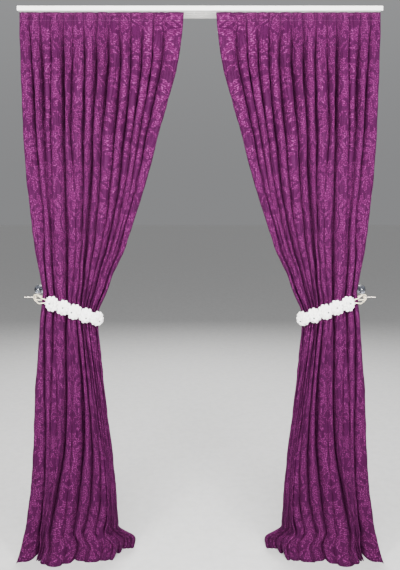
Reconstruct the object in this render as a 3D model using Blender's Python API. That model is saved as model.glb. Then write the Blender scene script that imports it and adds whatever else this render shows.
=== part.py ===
"""Pair of damask curtains on a ceiling rail, each held back by a band of fabric flowers.

Frame: metres, +Z up, +X to the right and +Y to the back of the curtains. The origin is
the centre of the rail's top face. The left curtain is worked out first, and the right
one is its mirror image, so side is -1 for left and 1 for right.
"""

import math

import bmesh
import bpy
import numpy as np
from mathutils import Matrix, Vector

# Rail, metres
RAIL_HALF_LENGTH = 0.856
RAIL_HALF_DEPTH = 0.078
RAIL_THICKNESS = 0.0155
FASCIA_HEIGHT = 0.0215
FASCIA_THICKNESS = 0.004
CHANNEL_FIRST_Y = -0.030
CHANNEL_PITCH = 0.040
CHANNEL_COUNT = 3
CHANNEL_SLOT = 0.006
CHANNEL_WIDTH = 0.012
CHANNEL_LIP = 0.0025
CHANNEL_HEIGHT = 0.0085
TOUCH_GAP = 0.0003

# Gliders, which run in the first channel
GLIDER_WIDTH = 0.005
GLIDER_FOOT_HEIGHT = 0.004
GLIDER_FOOT_PLAY = 0.001
GLIDER_STEM = 0.0036
GLIDER_DROP = 0.0065
GLIDER_ARM_THICKNESS = 0.0024
GLIDER_BEND_BACK = 0.003
GLIDER_BEND_FRONT = 0.001
GLIDER_HOOK_Z = -0.046
SPARE_GLIDER_X = 0.0285
INNER_GLIDER_INSET = 0.014

# Cloth
CLOTH_THICKNESS = 0.0015
HEADING_TOP_Z = -0.0207
HEADING_PLANE_Y = -0.044
HEM_Z = -2.5988
FOLD_STEPS = 6
CREST_POWER = 0.36
OPEN_POWER = 0.50
CREST_WIDENING = 0.80
OPEN_WIDENING = 0.50
CLOSED_WIDTH = 0.010
LEAST_FOLD_WIDTH = 8.0
TAPE_THICKNESS = 0.0012
TAPE_TOP_Z = -0.026
TAPE_BOTTOM_Z = -0.073
TAPE_END_INSET = 0.004

# Sideways sway of the folds: a sine of the height, turned on from fold to fold, which
# fades out over a length near the heading, the tieback and the hem
SWAY = 0.004
SWAY_RATE = 5.1
SWAY_TURN = 1.7
SWAY_START = 0.6
STILL_AT_HEADING = 0.1
HEADING_FADE = 0.4
STILL_AT_TIE = 0.05
TIE_FADE = 0.3
HEM_FADE = 0.3

# Tieback band, flowers, cord loops and hooks
TIE_Z = -1.420
BAND_HEIGHT = 0.036
BAND_THICKNESS = 0.002
BAND_CLEARANCE = 0.0007
BAND_STEPS = 26
BAND_SAMPLES = 720
WAIST_POWER = 2.5
WAIST_EDGE = 0.97
BAND_START_X = -0.720
BAND_END_X = -0.735
FLOWER_COUNT = 5
FLOWER_FIRST_X = -0.691
FLOWER_PITCH = 0.0552
FLOWER_HALF_WIDTH = 0.0270
FLOWER_HALF_HEIGHT = 0.0365
FLOWER_DEPTH = 0.013
FLOWER_PETALS = 8
FLOWER_CHORD = 0.004
PETAL_NOTCH = 0.90
PETAL_DIP = 0.82
LOOP_RADIUS = 0.0030
LOOP_RESOLUTION = 1
LOOP_SUBSTEPS = 2
HOOK_MOUNT_X = -0.857
HOOK_Y = 0.058
HOOK_Z = -1.3831
HOOK_RADIUS = 0.0025
HOOK_RESOLUTION = 2
HOOK_POST_X = -0.788
HOOK_BEND_RADIUS = 0.014
HOOK_BEND_STEPS = 5
BALL_RADIUS = 0.0220
BALL_Z = -1.3443
BALL_SEGMENTS = 12
BALL_RINGS = 8

# Rings of a flower, from its rim to its dimple: the share of the flower's half width and
# half height, and the share of its depth
FLOWER_RINGS = (
    (1.00, 0.00),
    (1.00, 0.20),
    (0.74, 1.00),
    (0.34, 0.86),
)
FLOWER_DIMPLE = 0.62

# Silhouette of the left curtain: the X of both side edges at each height
EDGE_COLUMNS = ("height", "outer", "inner")
EDGES = (
    (-0.020, -0.853, -0.076),
    (-0.140, -0.853, -0.086),
    (-0.263, -0.850, -0.104),
    (-0.382, -0.847, -0.135),
    (-0.619, -0.836, -0.202),
    (-0.818, -0.818, -0.253),
    (-1.060, -0.790, -0.331),
    (-1.181, -0.776, -0.374),
    (-1.249, -0.764, -0.405),
    (-1.301, -0.754, -0.424),
    (-1.349, -0.744, -0.443),
    (-1.3725, -0.7487, -0.4545),
    (-1.400, -0.750, -0.468),
    (-1.440, -0.757, -0.482),
    (-1.505, -0.764, -0.483),
    (-1.602, -0.768, -0.474),
    (-1.723, -0.775, -0.461),
    (-1.946, -0.782, -0.431),
    (-2.193, -0.792, -0.398),
    (-2.313, -0.804, -0.389),
    (-2.434, -0.820, -0.386),
    (-2.485, -0.830, -0.384),
    (-2.510, -0.835, -0.360),
    (-2.535, -0.840, -0.328),
    (-2.570, -0.848, -0.316),
    (-2.600, -0.855, -0.321),
)

# Rows of the cloth, heading to hem. drop: how far the row's inner end lies below its
# outer end. front: the Y of the line of crests. bow: how far that line curves back
# towards both edges.
ROW_COLUMNS = ("height", "drop", "front", "bow")
ROWS = (
    (HEADING_TOP_Z, 0.000, -0.047, 0.000),
    (-0.0760, 0.000, -0.047, 0.000),
    (-0.1200, 0.002, -0.058, 0.003),
    (-0.2000, 0.008, -0.063, 0.006),
    (-0.4200, 0.020, -0.065, 0.010),
    (-0.6800, 0.034, -0.065, 0.013),
    (-0.9400, 0.050, -0.066, 0.017),
    (-1.1400, 0.068, -0.068, 0.023),
    (-1.2900, 0.085, -0.072, 0.034),
    (-1.3900, 0.095, -0.074, 0.043),
    (-1.4500, 0.095, -0.074, 0.043),
    (-1.5500, 0.085, -0.074, 0.036),
    (-1.7400, 0.060, -0.075, 0.028),
    (-2.0200, 0.035, -0.076, 0.022),
    (-2.2800, 0.015, -0.078, 0.018),
    (-2.4500, 0.005, -0.082, 0.015),
    (-2.5450, 0.000, -0.092, 0.012),
    (-2.5850, 0.000, -0.106, 0.008),
    (HEM_Z, 0.000, -0.122, 0.000),
)

# Folds from the outer edge to the inner one. width: millimetres of each fold across
# the curtain, at seven heights. A row's widths are scaled to the curtain's width there.
WIDTH_HEIGHTS = (-0.076, -0.575, -0.940, -1.420, -1.950, -2.380, -2.600)
FOLD_WIDTHS = (
    (46, 58, 59, 27, 53, 69, 82),
    (50, 41, 35, 36, 26, 17, 12),
    (51, 34, 20, 20, 27, 17, 12),
    (54, 63, 56, 44, 39, 17, 34),
    (49, 33, 56, 25, 39, 64, 76),
    (52, 56, 31, 24, 46, 51, 50),
    (57, 45, 25, 24, 33, 54, 55),
    (57, 49, 42, 14, 29, 50, 64),
    (53, 59, 51, 11, 14, 43, 45),
    (55, 44, 28, 11, 10, 10, 26),
    (52, 41, 28, 11, 9, 10, 24),
    (55, 35, 24, 11, 9, 10, 19),
    (51, 31, 22, 11, 9, 10, 19),
    (88, 59, 32, 11, 8, 9, 18),
)

# How deep the valley after each fold lies behind the line of crests, in millimetres.
# The first row is the outer edge itself.
DEPTH_HEIGHTS = (-0.076, -0.170, -0.940, -1.420, -1.950, -2.380, -2.600)
VALLEY_DEPTHS = (
    (3, 20, 20, 12, 14, 18, 24),
    (3, 44, 48, 50, 40, 48, 118),
    (3, 40, 36, 56, 20, 14, 70),
    (3, 32, 22, 22, 15, 14, 60),
    (3, 44, 52, 78, 90, 62, 20),
    (3, 32, 20, 20, 16, 34, 22),
    (3, 34, 42, 34, 74, 58, 64),
    (3, 40, 54, 60, 62, 36, 36),
    (3, 44, 62, 40, 36, 46, 54),
    (3, 34, 46, 42, 30, 54, 62),
    (3, 40, 50, 38, 18, 10, 132),
    (3, 32, 38, 36, 16, 10, 160),
    (3, 42, 42, 36, 16, 10, 162),
    (3, 32, 34, 32, 14, 10, 164),
    (3, 16, 16, 14, 16, 16, 176),
)

# How open the valley after each fold is, from a shut slit at 0 to a wide hollow at 1
OPEN_HEIGHTS = (-0.076, -0.940, -1.420, -1.950, -2.600)
VALLEY_OPENINGS = (
    (0.0, 0.0, 0.0, 0.0, 0.0),
    (0.1, 0.3, 0.0, 0.6, 0.7),
    (0.7, 0.7, 0.2, 0.2, 0.1),
    (0.1, 0.3, 0.0, 0.1, 0.3),
    (0.8, 0.8, 0.2, 0.8, 0.6),
    (0.4, 0.2, 0.0, 0.1, 0.2),
    (0.1, 0.1, 0.0, 0.6, 0.8),
    (0.8, 0.7, 0.2, 0.4, 0.3),
    (0.7, 0.3, 0.0, 0.2, 0.3),
    (0.6, 0.4, 0.1, 0.4, 0.6),
    (0.1, 0.2, 0.0, 0.0, 0.3),
    (0.6, 0.5, 0.1, 0.0, 0.3),
    (0.2, 0.2, 0.0, 0.0, 0.2),
    (0.4, 0.2, 0.0, 0.0, 0.2),
    (0.0, 0.0, 0.0, 0.0, 0.0),
)

# How far each fold's crest is held back from the line of crests, in millimetres
CREST_HEIGHTS = (-0.076, -0.940, -1.420, -1.950, -2.380, -2.600)
CREST_SETBACKS = (
    (0, 0, 2, 3, 4, 42),
    (0, 8, 4, 10, 9, 49),
    (0, 26, 12, 9, 10, 46),
    (0, 0, 0, 0, 8, 14),
    (0, 4, 4, 5, 2, 0),
    (0, 0, 0, 0, 0, 26),
    (0, 3, 2, 4, 0, 48),
    (0, 0, 0, 0, 4, 38),
    (0, 4, 8, 8, 5, 50),
    (0, 0, 2, 8, 5, 54),
    (0, 6, 10, 9, 6, 112),
    (0, 0, 2, 7, 6, 154),
    (0, 5, 8, 7, 6, 156),
    (0, 0, 4, 4, 6, 158),
)
FOLD_COUNT = len(FOLD_WIDTHS)
MM = 0.001

# Routes of the two cord loops that hook the left band, as (X, Y, Z)
FRONT_LOOP = (
    (-0.7245, -0.0655, -1.3775),
    (-0.7430, -0.0630, -1.3700),
    (-0.7620, -0.0420, -1.3620),
    (-0.7850, 0.0100, -1.3640),
    (-0.8060, 0.0480, -1.3710),
    (-0.8115, 0.0600, -1.3764),
    (-0.8125, 0.0643, -1.3831),
    (-0.8115, 0.0600, -1.3898),
    (-0.8060, 0.0480, -1.3935),
    (-0.7850, 0.0100, -1.3985),
    (-0.7620, -0.0420, -1.3975),
    (-0.7430, -0.0630, -1.3930),
    (-0.7245, -0.0655, -1.3895),
)
BACK_LOOP = (
    (-0.7406, 0.0006, -1.3795),
    (-0.7600, 0.0200, -1.3750),
    (-0.7840, 0.0400, -1.3715),
    (-0.8000, 0.0500, -1.3722),
    (-0.8040, 0.0600, -1.3762),
    (-0.8045, 0.0643, -1.3831),
    (-0.8040, 0.0600, -1.3900),
    (-0.8000, 0.0500, -1.3935),
    (-0.7840, 0.0400, -1.3930),
    (-0.7600, 0.0200, -1.3910),
    (-0.7406, 0.0006, -1.3885),
)

# Colours, linear RGB, with roughness and metallic value
FINISHES = {
    "rail": ((0.84, 0.83, 0.80), 0.35, 0.0),
    "glider": ((0.80, 0.80, 0.78), 0.40, 0.0),
    "curtain": ((0.22, 0.035, 0.17), 0.60, 0.0),
    "tape": ((0.62, 0.60, 0.58), 0.80, 0.0),
    "band": ((0.80, 0.78, 0.74), 0.65, 0.0),
    "flower": ((0.86, 0.85, 0.83), 0.55, 0.0),
    "loop": ((0.74, 0.66, 0.52), 0.70, 0.0),
    "hook": ((0.66, 0.58, 0.46), 0.30, 1.0),
    "ball": ((0.80, 0.82, 0.85), 0.03, 0.0),
}


def clear_scene():
    """Remove every object that the file opens with."""
    for thing in list(bpy.data.objects):
        bpy.data.objects.remove(thing, do_unlink=True)


def make_material(name, finish):
    """Principled material with the finish's colour, roughness and metallic value."""
    colour, roughness, metallic = FINISHES[finish]
    material = bpy.data.materials.new(name)
    material.use_nodes = True
    shader = material.node_tree.nodes["Principled BSDF"]
    shader.inputs["Base Color"].default_value = (*colour, 1.0)
    shader.inputs["Roughness"].default_value = roughness
    shader.inputs["Metallic"].default_value = metallic
    return material


def add_object(name, data, finish):
    """Link an object of the given mesh or curve under its own material."""
    thing = bpy.data.objects.new(name, data)
    bpy.context.scene.collection.objects.link(thing)
    thing.data.materials.clear()
    thing.data.materials.append(make_material(name, finish))
    return thing


def mesh_from_bmesh(name, shape):
    """Recalculate the normals outwards and turn the bmesh into a mesh."""
    bmesh.ops.recalc_face_normals(shape, faces=shape.faces)
    mesh = bpy.data.meshes.new(name)
    shape.to_mesh(mesh)
    shape.free()
    return mesh


def extrude_outline(name, outline, start, vector):
    """Face through the outline's points, moved to start and extruded along vector."""
    shape = bmesh.new()
    corners = [shape.verts.new(Vector(start) + Vector(point)) for point in outline]
    face = shape.faces.new(corners)
    grown = bmesh.ops.extrude_face_region(shape, geom=[face])
    moved = [item for item in grown["geom"] if isinstance(item, bmesh.types.BMVert)]
    bmesh.ops.translate(shape, verts=moved, vec=Vector(vector))
    return mesh_from_bmesh(name, shape)


def eased(at, stations, values):
    """Cubic Hermite curve through values at falling stations, read at the heights at.

    The slope at each station is the central difference of its neighbours.
    """
    stations = -np.asarray(stations, float)
    values = np.asarray(values, float)
    slopes = np.gradient(values, stations, axis=0)
    place = np.clip(-np.asarray(at, float), stations[0], stations[-1])
    low = np.clip(np.searchsorted(stations, place, side="right") - 1, 0, len(stations) - 2)
    span = stations[low + 1] - stations[low]
    t = (place - stations[low]) / span
    if values.ndim > 1:
        t = t[:, None]
        span = span[:, None]
    start = (1 + 2 * t) * (1 - t) ** 2 * values[low]
    start_slope = t * (1 - t) ** 2 * span * slopes[low]
    end = t * t * (3 - 2 * t) * values[low + 1]
    end_slope = t * t * (t - 1) * span * slopes[low + 1]
    return start + start_slope + end + end_slope


def edge_x(height, column):
    """X of the outer or inner edge at the given heights."""
    table = np.array(EDGES)
    return eased(height, table[:, 0], table[:, EDGE_COLUMNS.index(column)])


def waist_curve(share):
    """Share of the half depth of a bundle, from 1 at its middle to little at its edges."""
    reach = WAIST_EDGE * np.abs(2 * share - 1)
    return (1 - reach**WAIST_POWER) ** (1 / WAIST_POWER)


def cloth_grid(rows, steps):
    """Middle surface of the left curtain as an array of rows by columns by XYZ.

    Every fold runs from one valley to the next over its crest. Along it, Y follows a
    power of a cosine wave between the depths of the valleys and of the crest. X is
    widened at the crest and narrowed in the valleys by a sine of the same wave, and the
    more so, the wider the fold is. In an open valley the power is higher and X is
    narrowed less.
    """
    rows = np.asarray(rows, float)
    height, drop, front, bow = (rows[:, column] for column in range(len(ROW_COLUMNS)))
    widths = eased(height, WIDTH_HEIGHTS, np.array(FOLD_WIDTHS).T)
    widths = np.maximum(widths, LEAST_FOLD_WIDTH)
    depths = eased(height, DEPTH_HEIGHTS, np.array(VALLEY_DEPTHS).T) * MM
    setbacks = eased(height, CREST_HEIGHTS, np.array(CREST_SETBACKS).T) * MM
    bounds = np.concatenate([np.zeros((len(rows), 1)), np.cumsum(widths, axis=1)], axis=1)
    bounds = bounds / bounds[:, -1:]

    column = np.arange(FOLD_COUNT * steps + 1)
    fold = np.minimum(column // steps, FOLD_COUNT - 1)
    t = column / steps - fold
    openings = np.clip(eased(height, OPEN_HEIGHTS, np.array(VALLEY_OPENINGS).T), 0, 1)
    opening = np.where(t < 0.5, openings[:, fold], openings[:, fold + 1])
    wave = ((1 - np.cos(2 * math.pi * t)) / 2) ** (CREST_POWER + OPEN_POWER * opening)
    reach = bounds[:, fold + 1] - bounds[:, fold]
    span = (edge_x(height, "inner") - edge_x(height, "outer"))[:, None]
    widening = CREST_WIDENING * np.maximum(1 - CLOSED_WIDTH / (reach * span), 0)
    widening = widening * (1 - OPEN_WIDENING * opening)
    share = bounds[:, fold] + reach * (t - widening * np.sin(2 * math.pi * t) / (2 * math.pi))
    valley = np.where(t < 0.5, depths[:, fold], depths[:, fold + 1])
    depth = valley + (setbacks[:, fold] - valley) * wave

    free = np.clip((np.abs(height - TIE_Z) - STILL_AT_TIE) / TIE_FADE, 0, 1)
    free = free * np.clip((-height - STILL_AT_HEADING) / HEADING_FADE, 0, 1)
    free = free * np.clip((height - HEM_Z) / HEM_FADE, 0, 1)
    swing = np.sin(SWAY_RATE * height[:, None] + SWAY_TURN * fold[None, :] + SWAY_START)
    inside = np.sin(math.pi * share)
    z_outer = height + drop / 2
    z_inner = height - drop / 2
    x_outer = edge_x(z_outer, "outer")[:, None]
    x_inner = edge_x(z_inner, "inner")[:, None]
    x = x_outer + (x_inner - x_outer) * share + SWAY * free[:, None] * swing * inside
    y = front[:, None] + bow[:, None] * (1 - waist_curve(share)) + depth
    z = z_outer[:, None] + (z_inner - z_outer)[:, None] * share
    return np.stack([x, y, z], axis=-1)


def sheet_mesh(name, points, side):
    """Mesh of quads over a grid of points, with X turned to the given side."""
    rows, columns = points.shape[:2]
    shape = bmesh.new()
    corners = [shape.verts.new((-side * x, y, z)) for x, y, z in points.reshape(-1, 3)]
    for row in range(rows - 1):
        for column in range(columns - 1):
            first = row * columns + column
            loop = (first, first + 1, first + columns + 1, first + columns)
            shape.faces.new([corners[index] for index in loop])
    mesh = bpy.data.meshes.new(name)
    shape.to_mesh(mesh)
    shape.free()
    return mesh


def add_sheet(name, points, side, thickness, finish):
    """Sheet of even thickness on both sides of its middle surface."""
    thing = add_object(name, sheet_mesh(name, points, side), finish)
    thicken = thing.modifiers.new("thickness", "SOLIDIFY")
    thicken.thickness = thickness
    thicken.offset = 0.0
    thicken.use_even_offset = False
    return thing


def add_rail():
    """Extruded rail: a fascia lip in front and three slotted channels underneath."""
    front = -RAIL_HALF_DEPTH
    outline = [
        (front, 0.0),
        (front, -FASCIA_HEIGHT),
        (front + FASCIA_THICKNESS, -FASCIA_HEIGHT),
        (front + FASCIA_THICKNESS, -RAIL_THICKNESS),
    ]
    lip_top = -RAIL_THICKNESS + CHANNEL_LIP
    roof = -RAIL_THICKNESS + CHANNEL_HEIGHT + CHANNEL_LIP
    for index in range(CHANNEL_COUNT):
        middle = CHANNEL_FIRST_Y + index * CHANNEL_PITCH
        slot = CHANNEL_SLOT / 2
        wide = CHANNEL_WIDTH / 2
        outline += [
            (middle - slot, -RAIL_THICKNESS),
            (middle - slot, lip_top),
            (middle - wide, lip_top),
            (middle - wide, roof),
            (middle + wide, roof),
            (middle + wide, lip_top),
            (middle + slot, lip_top),
            (middle + slot, -RAIL_THICKNESS),
        ]
    outline += [(RAIL_HALF_DEPTH, -RAIL_THICKNESS), (RAIL_HALF_DEPTH, 0.0)]
    points = [(0.0, y, z) for y, z in outline]
    start = (-RAIL_HALF_LENGTH, 0.0, 0.0)
    mesh = extrude_outline("rail", points, start, (2 * RAIL_HALF_LENGTH, 0.0, 0.0))
    add_object("rail", mesh, "rail")


def glider_outline(hooked):
    """YZ outline of a glider: foot in the channel, stem, and its hook into the tape."""
    middle = CHANNEL_FIRST_Y
    foot_bottom = -RAIL_THICKNESS + CHANNEL_LIP + TOUCH_GAP
    foot_top = foot_bottom + GLIDER_FOOT_HEIGHT
    foot = CHANNEL_WIDTH / 2 - GLIDER_FOOT_PLAY
    stem = GLIDER_STEM / 2
    drop = -RAIL_THICKNESS - GLIDER_DROP
    outline = [
        (middle - foot, foot_bottom),
        (middle - foot, foot_top),
        (middle + foot, foot_top),
        (middle + foot, foot_bottom),
        (middle + stem, foot_bottom),
        (middle + stem, drop),
    ]
    if hooked:
        tape_back = HEADING_PLANE_Y + CLOTH_THICKNESS / 2 + TOUCH_GAP + TAPE_THICKNESS
        arm_front = tape_back + TOUCH_GAP
        arm_back = arm_front + GLIDER_ARM_THICKNESS
        outline += [
            (arm_back, drop - GLIDER_BEND_BACK),
            (arm_back, GLIDER_HOOK_Z),
            (arm_front, GLIDER_HOOK_Z),
            (arm_front, drop + GLIDER_BEND_FRONT),
        ]
    else:
        outline += [(middle - stem, drop)]
    outline += [
        (middle - stem, drop + GLIDER_STEM),
        (middle - stem, foot_bottom),
    ]
    return outline


def add_gliders(side, side_name):
    """One glider behind each valley of the heading, and one at its inner edge."""
    top = cloth_grid(ROWS[:1], FOLD_STEPS)[0, :, 0]
    places = [top[fold * FOLD_STEPS] for fold in range(1, FOLD_COUNT)]
    places.append(top[-1] - INNER_GLIDER_INSET)
    points = [(0.0, y, z) for y, z in glider_outline(True)]
    start = (-GLIDER_WIDTH / 2, 0.0, 0.0)
    mesh = extrude_outline("glider", points, start, (GLIDER_WIDTH, 0.0, 0.0))
    for number, place in enumerate(places, start=1):
        thing = add_object(f"glider_{side_name}_{number:02d}", mesh.copy(), "glider")
        thing.location.x = -side * place
    bpy.data.meshes.remove(mesh)


def add_spare_gliders():
    """Two empty gliders in the channel between the curtains."""
    points = [(0.0, y, z) for y, z in glider_outline(False)]
    start = (-GLIDER_WIDTH / 2, 0.0, 0.0)
    for number, place in enumerate((-SPARE_GLIDER_X, SPARE_GLIDER_X), start=1):
        mesh = extrude_outline("glider_spare", points, start, (GLIDER_WIDTH, 0.0, 0.0))
        thing = add_object(f"glider_spare_{number}", mesh, "glider")
        thing.location.x = place


def add_curtain(side, side_name):
    """Whole folded curtain, heading to hem, as one sheet."""
    grid = cloth_grid(ROWS, FOLD_STEPS)
    add_sheet(f"curtain_{side_name}", grid, side, CLOTH_THICKNESS, "curtain")


def add_heading_tape(side, side_name):
    """Flat tape sewn behind the heading, over its whole width."""
    top = cloth_grid(ROWS[:1], FOLD_STEPS)[0, :, 0]
    across = np.linspace(top[0] + TAPE_END_INSET, top[-1] - TAPE_END_INSET, FOLD_COUNT + 1)
    y = HEADING_PLANE_Y + CLOTH_THICKNESS / 2 + TOUCH_GAP + TAPE_THICKNESS / 2
    rows = [[(x, y, z) for x in across] for z in (TAPE_TOP_Z, TAPE_BOTTOM_Z)]
    name = f"heading_tape_{side_name}"
    add_sheet(name, np.array(rows), side, TAPE_THICKNESS, "tape")


def band_curve():
    """Middle line of the band round the waist: a superellipse in a sloping plane.

    The angle runs from the outer end over the front to the inner end and along the
    back. X and Y are powers of its cosine and sine, and Z falls in line with X.
    """
    waist = dict(zip(ROW_COLUMNS, next(row for row in ROWS if row[0] <= TIE_Z)))
    x_outer = float(edge_x([TIE_Z + waist["drop"] / 2], "outer")[0])
    x_inner = float(edge_x([TIE_Z - waist["drop"] / 2], "inner")[0])
    clear = CLOTH_THICKNESS / 2 + BAND_CLEARANCE + BAND_THICKNESS / 2
    half_x = (x_inner - x_outer) / 2 / WAIST_EDGE + clear
    half_y = waist["bow"] + clear
    centre_x = (x_outer + x_inner) / 2
    centre_y = waist["front"] + waist["bow"]
    angle = np.linspace(0, 2 * math.pi, BAND_SAMPLES, endpoint=False)
    cosine = np.cos(angle)
    sine = np.sin(angle)
    power = 2 / WAIST_POWER
    x = centre_x - half_x * np.sign(cosine) * np.abs(cosine) ** power
    y = centre_y - half_y * np.sign(sine) * np.abs(sine) ** power
    z = TIE_Z - waist["drop"] * ((x - x_outer) / (x_inner - x_outer) - 0.5)
    return np.stack([x, y, z], axis=-1)


def lengths_along(points):
    """Distance along a line of points, starting at 0."""
    steps = np.linalg.norm(np.diff(points, axis=0), axis=1)
    return np.concatenate([[0.0], np.cumsum(steps)])


def open_band():
    """Evenly spaced points of the band's middle line, from its front end to its back end."""
    ring = band_curve()
    half = len(ring) // 2
    first = next(i for i in range(half) if ring[i, 0] >= BAND_START_X)
    last = next(i for i in range(len(ring) - 1, half, -1) if ring[i, 0] >= BAND_END_X)
    line = ring[first : last + 1]
    along = lengths_along(line)
    stops = np.linspace(0, along[-1], BAND_STEPS + 1)
    return np.array([point_at(line, along, stop) for stop in stops])


def point_at(line, along, distance):
    """Point of a line at a distance along it."""
    return np.array([np.interp(distance, along, line[:, axis]) for axis in range(3)])


def add_band(side, side_name):
    """Flat band round the gathered waist, open at its outer end."""
    middle = open_band()
    half = np.array((0.0, 0.0, BAND_HEIGHT / 2))
    rows = np.array([middle + half, middle - half])
    add_sheet(f"tie_band_{side_name}", rows, side, BAND_THICKNESS, "band")


def flower_mesh(name):
    """Rosette: a flat back and a crowned, petalled front with a dimple in its middle.

    Each petal has a spoke along its middle and one in the notch beside it, where the
    rings are drawn in and lie lower.
    """
    spokes = 2 * FLOWER_PETALS
    shape = bmesh.new()
    loops = []
    for share, height in FLOWER_RINGS:
        loop = []
        for spoke in range(spokes):
            angle = 2 * math.pi * spoke / spokes
            swell = 1.0 if spoke % 2 == 0 else PETAL_NOTCH
            dip = 1.0 if spoke % 2 == 0 else PETAL_DIP
            x = FLOWER_HALF_WIDTH * share * swell * math.cos(angle)
            y = FLOWER_HALF_HEIGHT * share * swell * math.sin(angle)
            loop.append(shape.verts.new((x, y, FLOWER_DEPTH * height * dip)))
        loops.append(loop)
    for low, high in zip(loops, loops[1:]):
        for spoke in range(spokes):
            after = (spoke + 1) % spokes
            shape.faces.new((low[spoke], low[after], high[after], high[spoke]))
    centre = shape.verts.new((0.0, 0.0, FLOWER_DEPTH * FLOWER_DIMPLE))
    for spoke in range(spokes):
        shape.faces.new((loops[-1][spoke], loops[-1][(spoke + 1) % spokes], centre))
    shape.faces.new(list(reversed(loops[0])))
    return mesh_from_bmesh(name, shape)


def add_flowers(side, side_name):
    """Row of rosettes on the band's outer face, each square to the band there."""
    line = open_band()
    along = lengths_along(line)
    front = len(line) // 2
    first = float(np.interp(FLOWER_FIRST_X, line[:front, 0], along[:front]))
    for number in range(FLOWER_COUNT):
        distance = first + number * FLOWER_PITCH
        place = point_at(line, along, distance)
        behind = point_at(line, along, distance - FLOWER_CHORD / 2)
        ahead = point_at(line, along, distance + FLOWER_CHORD / 2) - behind
        tangent = Vector((-side * ahead[0], ahead[1], ahead[2])).normalized()
        outward = tangent.cross(Vector((0.0, 0.0, 1.0))).normalized() * -side
        upward = outward.cross(tangent).normalized()
        turn = Matrix((tangent, upward, outward)).transposed().to_4x4()
        centre = Vector((-side * place[0], place[1], place[2]))
        centre += outward * (BAND_THICKNESS / 2 + TOUCH_GAP)
        name = f"flower_{side_name}_{number + 1}"
        thing = add_object(name, flower_mesh(name), "flower")
        thing.matrix_world = Matrix.Translation(centre) @ turn


def tube_curve(name, points, radius, resolution, closed):
    """Round tube on a line of points, with filled ends unless it is closed."""
    curve = bpy.data.curves.new(name, "CURVE")
    curve.dimensions = "3D"
    curve.bevel_depth = radius
    curve.bevel_resolution = resolution
    curve.use_fill_caps = not closed
    spline = curve.splines.new("POLY")
    spline.points.add(len(points) - 1)
    for spot, point in zip(spline.points, points):
        spot.co = (*point, 1.0)
    spline.use_cyclic_u = closed
    return curve


def closed_smooth(points, substeps):
    """Points on a closed Catmull-Rom curve, with the given number in each span."""
    route = np.array(points)
    t = np.linspace(0, 1, substeps, endpoint=False)[:, None]
    spans = []
    for index in range(len(route)):
        a, b, c, d = (route[(index + shift) % len(route)] for shift in (-1, 0, 1, 2))
        curve = 2 * b + (c - a) * t + (2 * a - 5 * b + 4 * c - d) * t**2
        curve = curve + (3 * b - a - 3 * c + d) * t**3
        spans.append(0.5 * curve)
    return np.concatenate(spans)


def add_loops(side, side_name):
    """Cord loops at both ends of the band, hung over the hook's rod."""
    for end, route in (("front", FRONT_LOOP), ("back", BACK_LOOP)):
        name = f"tie_loop_{end}_{side_name}"
        points = [(-side * x, y, z) for x, y, z in closed_smooth(route, LOOP_SUBSTEPS)]
        curve = tube_curve(name, points, LOOP_RADIUS, LOOP_RESOLUTION, True)
        add_object(name, curve, "loop")


def add_hook(side, side_name):
    """Hook: a rod that runs inwards from its mount and turns up to a round glass ball."""
    bend = HOOK_BEND_RADIUS
    centre_x = HOOK_POST_X - bend
    centre_z = HOOK_Z + bend
    points = [(-side * HOOK_MOUNT_X, HOOK_Y, HOOK_Z)]
    for step in range(HOOK_BEND_STEPS + 1):
        angle = math.pi / 2 * step / HOOK_BEND_STEPS
        x = centre_x + bend * math.sin(angle)
        z = centre_z - bend * math.cos(angle)
        points.append((-side * x, HOOK_Y, z))
    top = BALL_Z - BALL_RADIUS - TOUCH_GAP
    points.append((-side * HOOK_POST_X, HOOK_Y, top))
    name = f"hook_{side_name}"
    curve = tube_curve(name, points, HOOK_RADIUS, HOOK_RESOLUTION, False)
    add_object(name, curve, "hook")

    name = f"ball_{side_name}"
    shape = bmesh.new()
    bmesh.ops.create_uvsphere(
        shape, u_segments=BALL_SEGMENTS, v_segments=BALL_RINGS, radius=BALL_RADIUS
    )
    thing = add_object(name, mesh_from_bmesh(name, shape), "ball")
    thing.location = (-side * HOOK_POST_X, HOOK_Y, BALL_Z)


def main():
    """Build the rail, then each side's curtain with what holds it."""
    clear_scene()
    add_rail()
    add_spare_gliders()
    for side, side_name in ((-1, "left"), (1, "right")):
        add_curtain(side, side_name)
        add_heading_tape(side, side_name)
        add_gliders(side, side_name)
        add_band(side, side_name)
        add_flowers(side, side_name)
        add_loops(side, side_name)
        add_hook(side, side_name)


main()
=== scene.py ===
"""Looks of a pair of damask curtains on their ceiling rail.

Lengths are metres and angles radians, unless a name says otherwise. The origin is the
centre of the rail's top face, with +Z up, +X to the right and +Y to the back. Each
piece is a surface of two parameters, worked out as a whole array of points. The left
pieces are worked out first, and the right ones are their mirror images.
"""

from __future__ import annotations

import functools
import logging
import math
from dataclasses import dataclass, field
from enum import Enum

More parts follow.
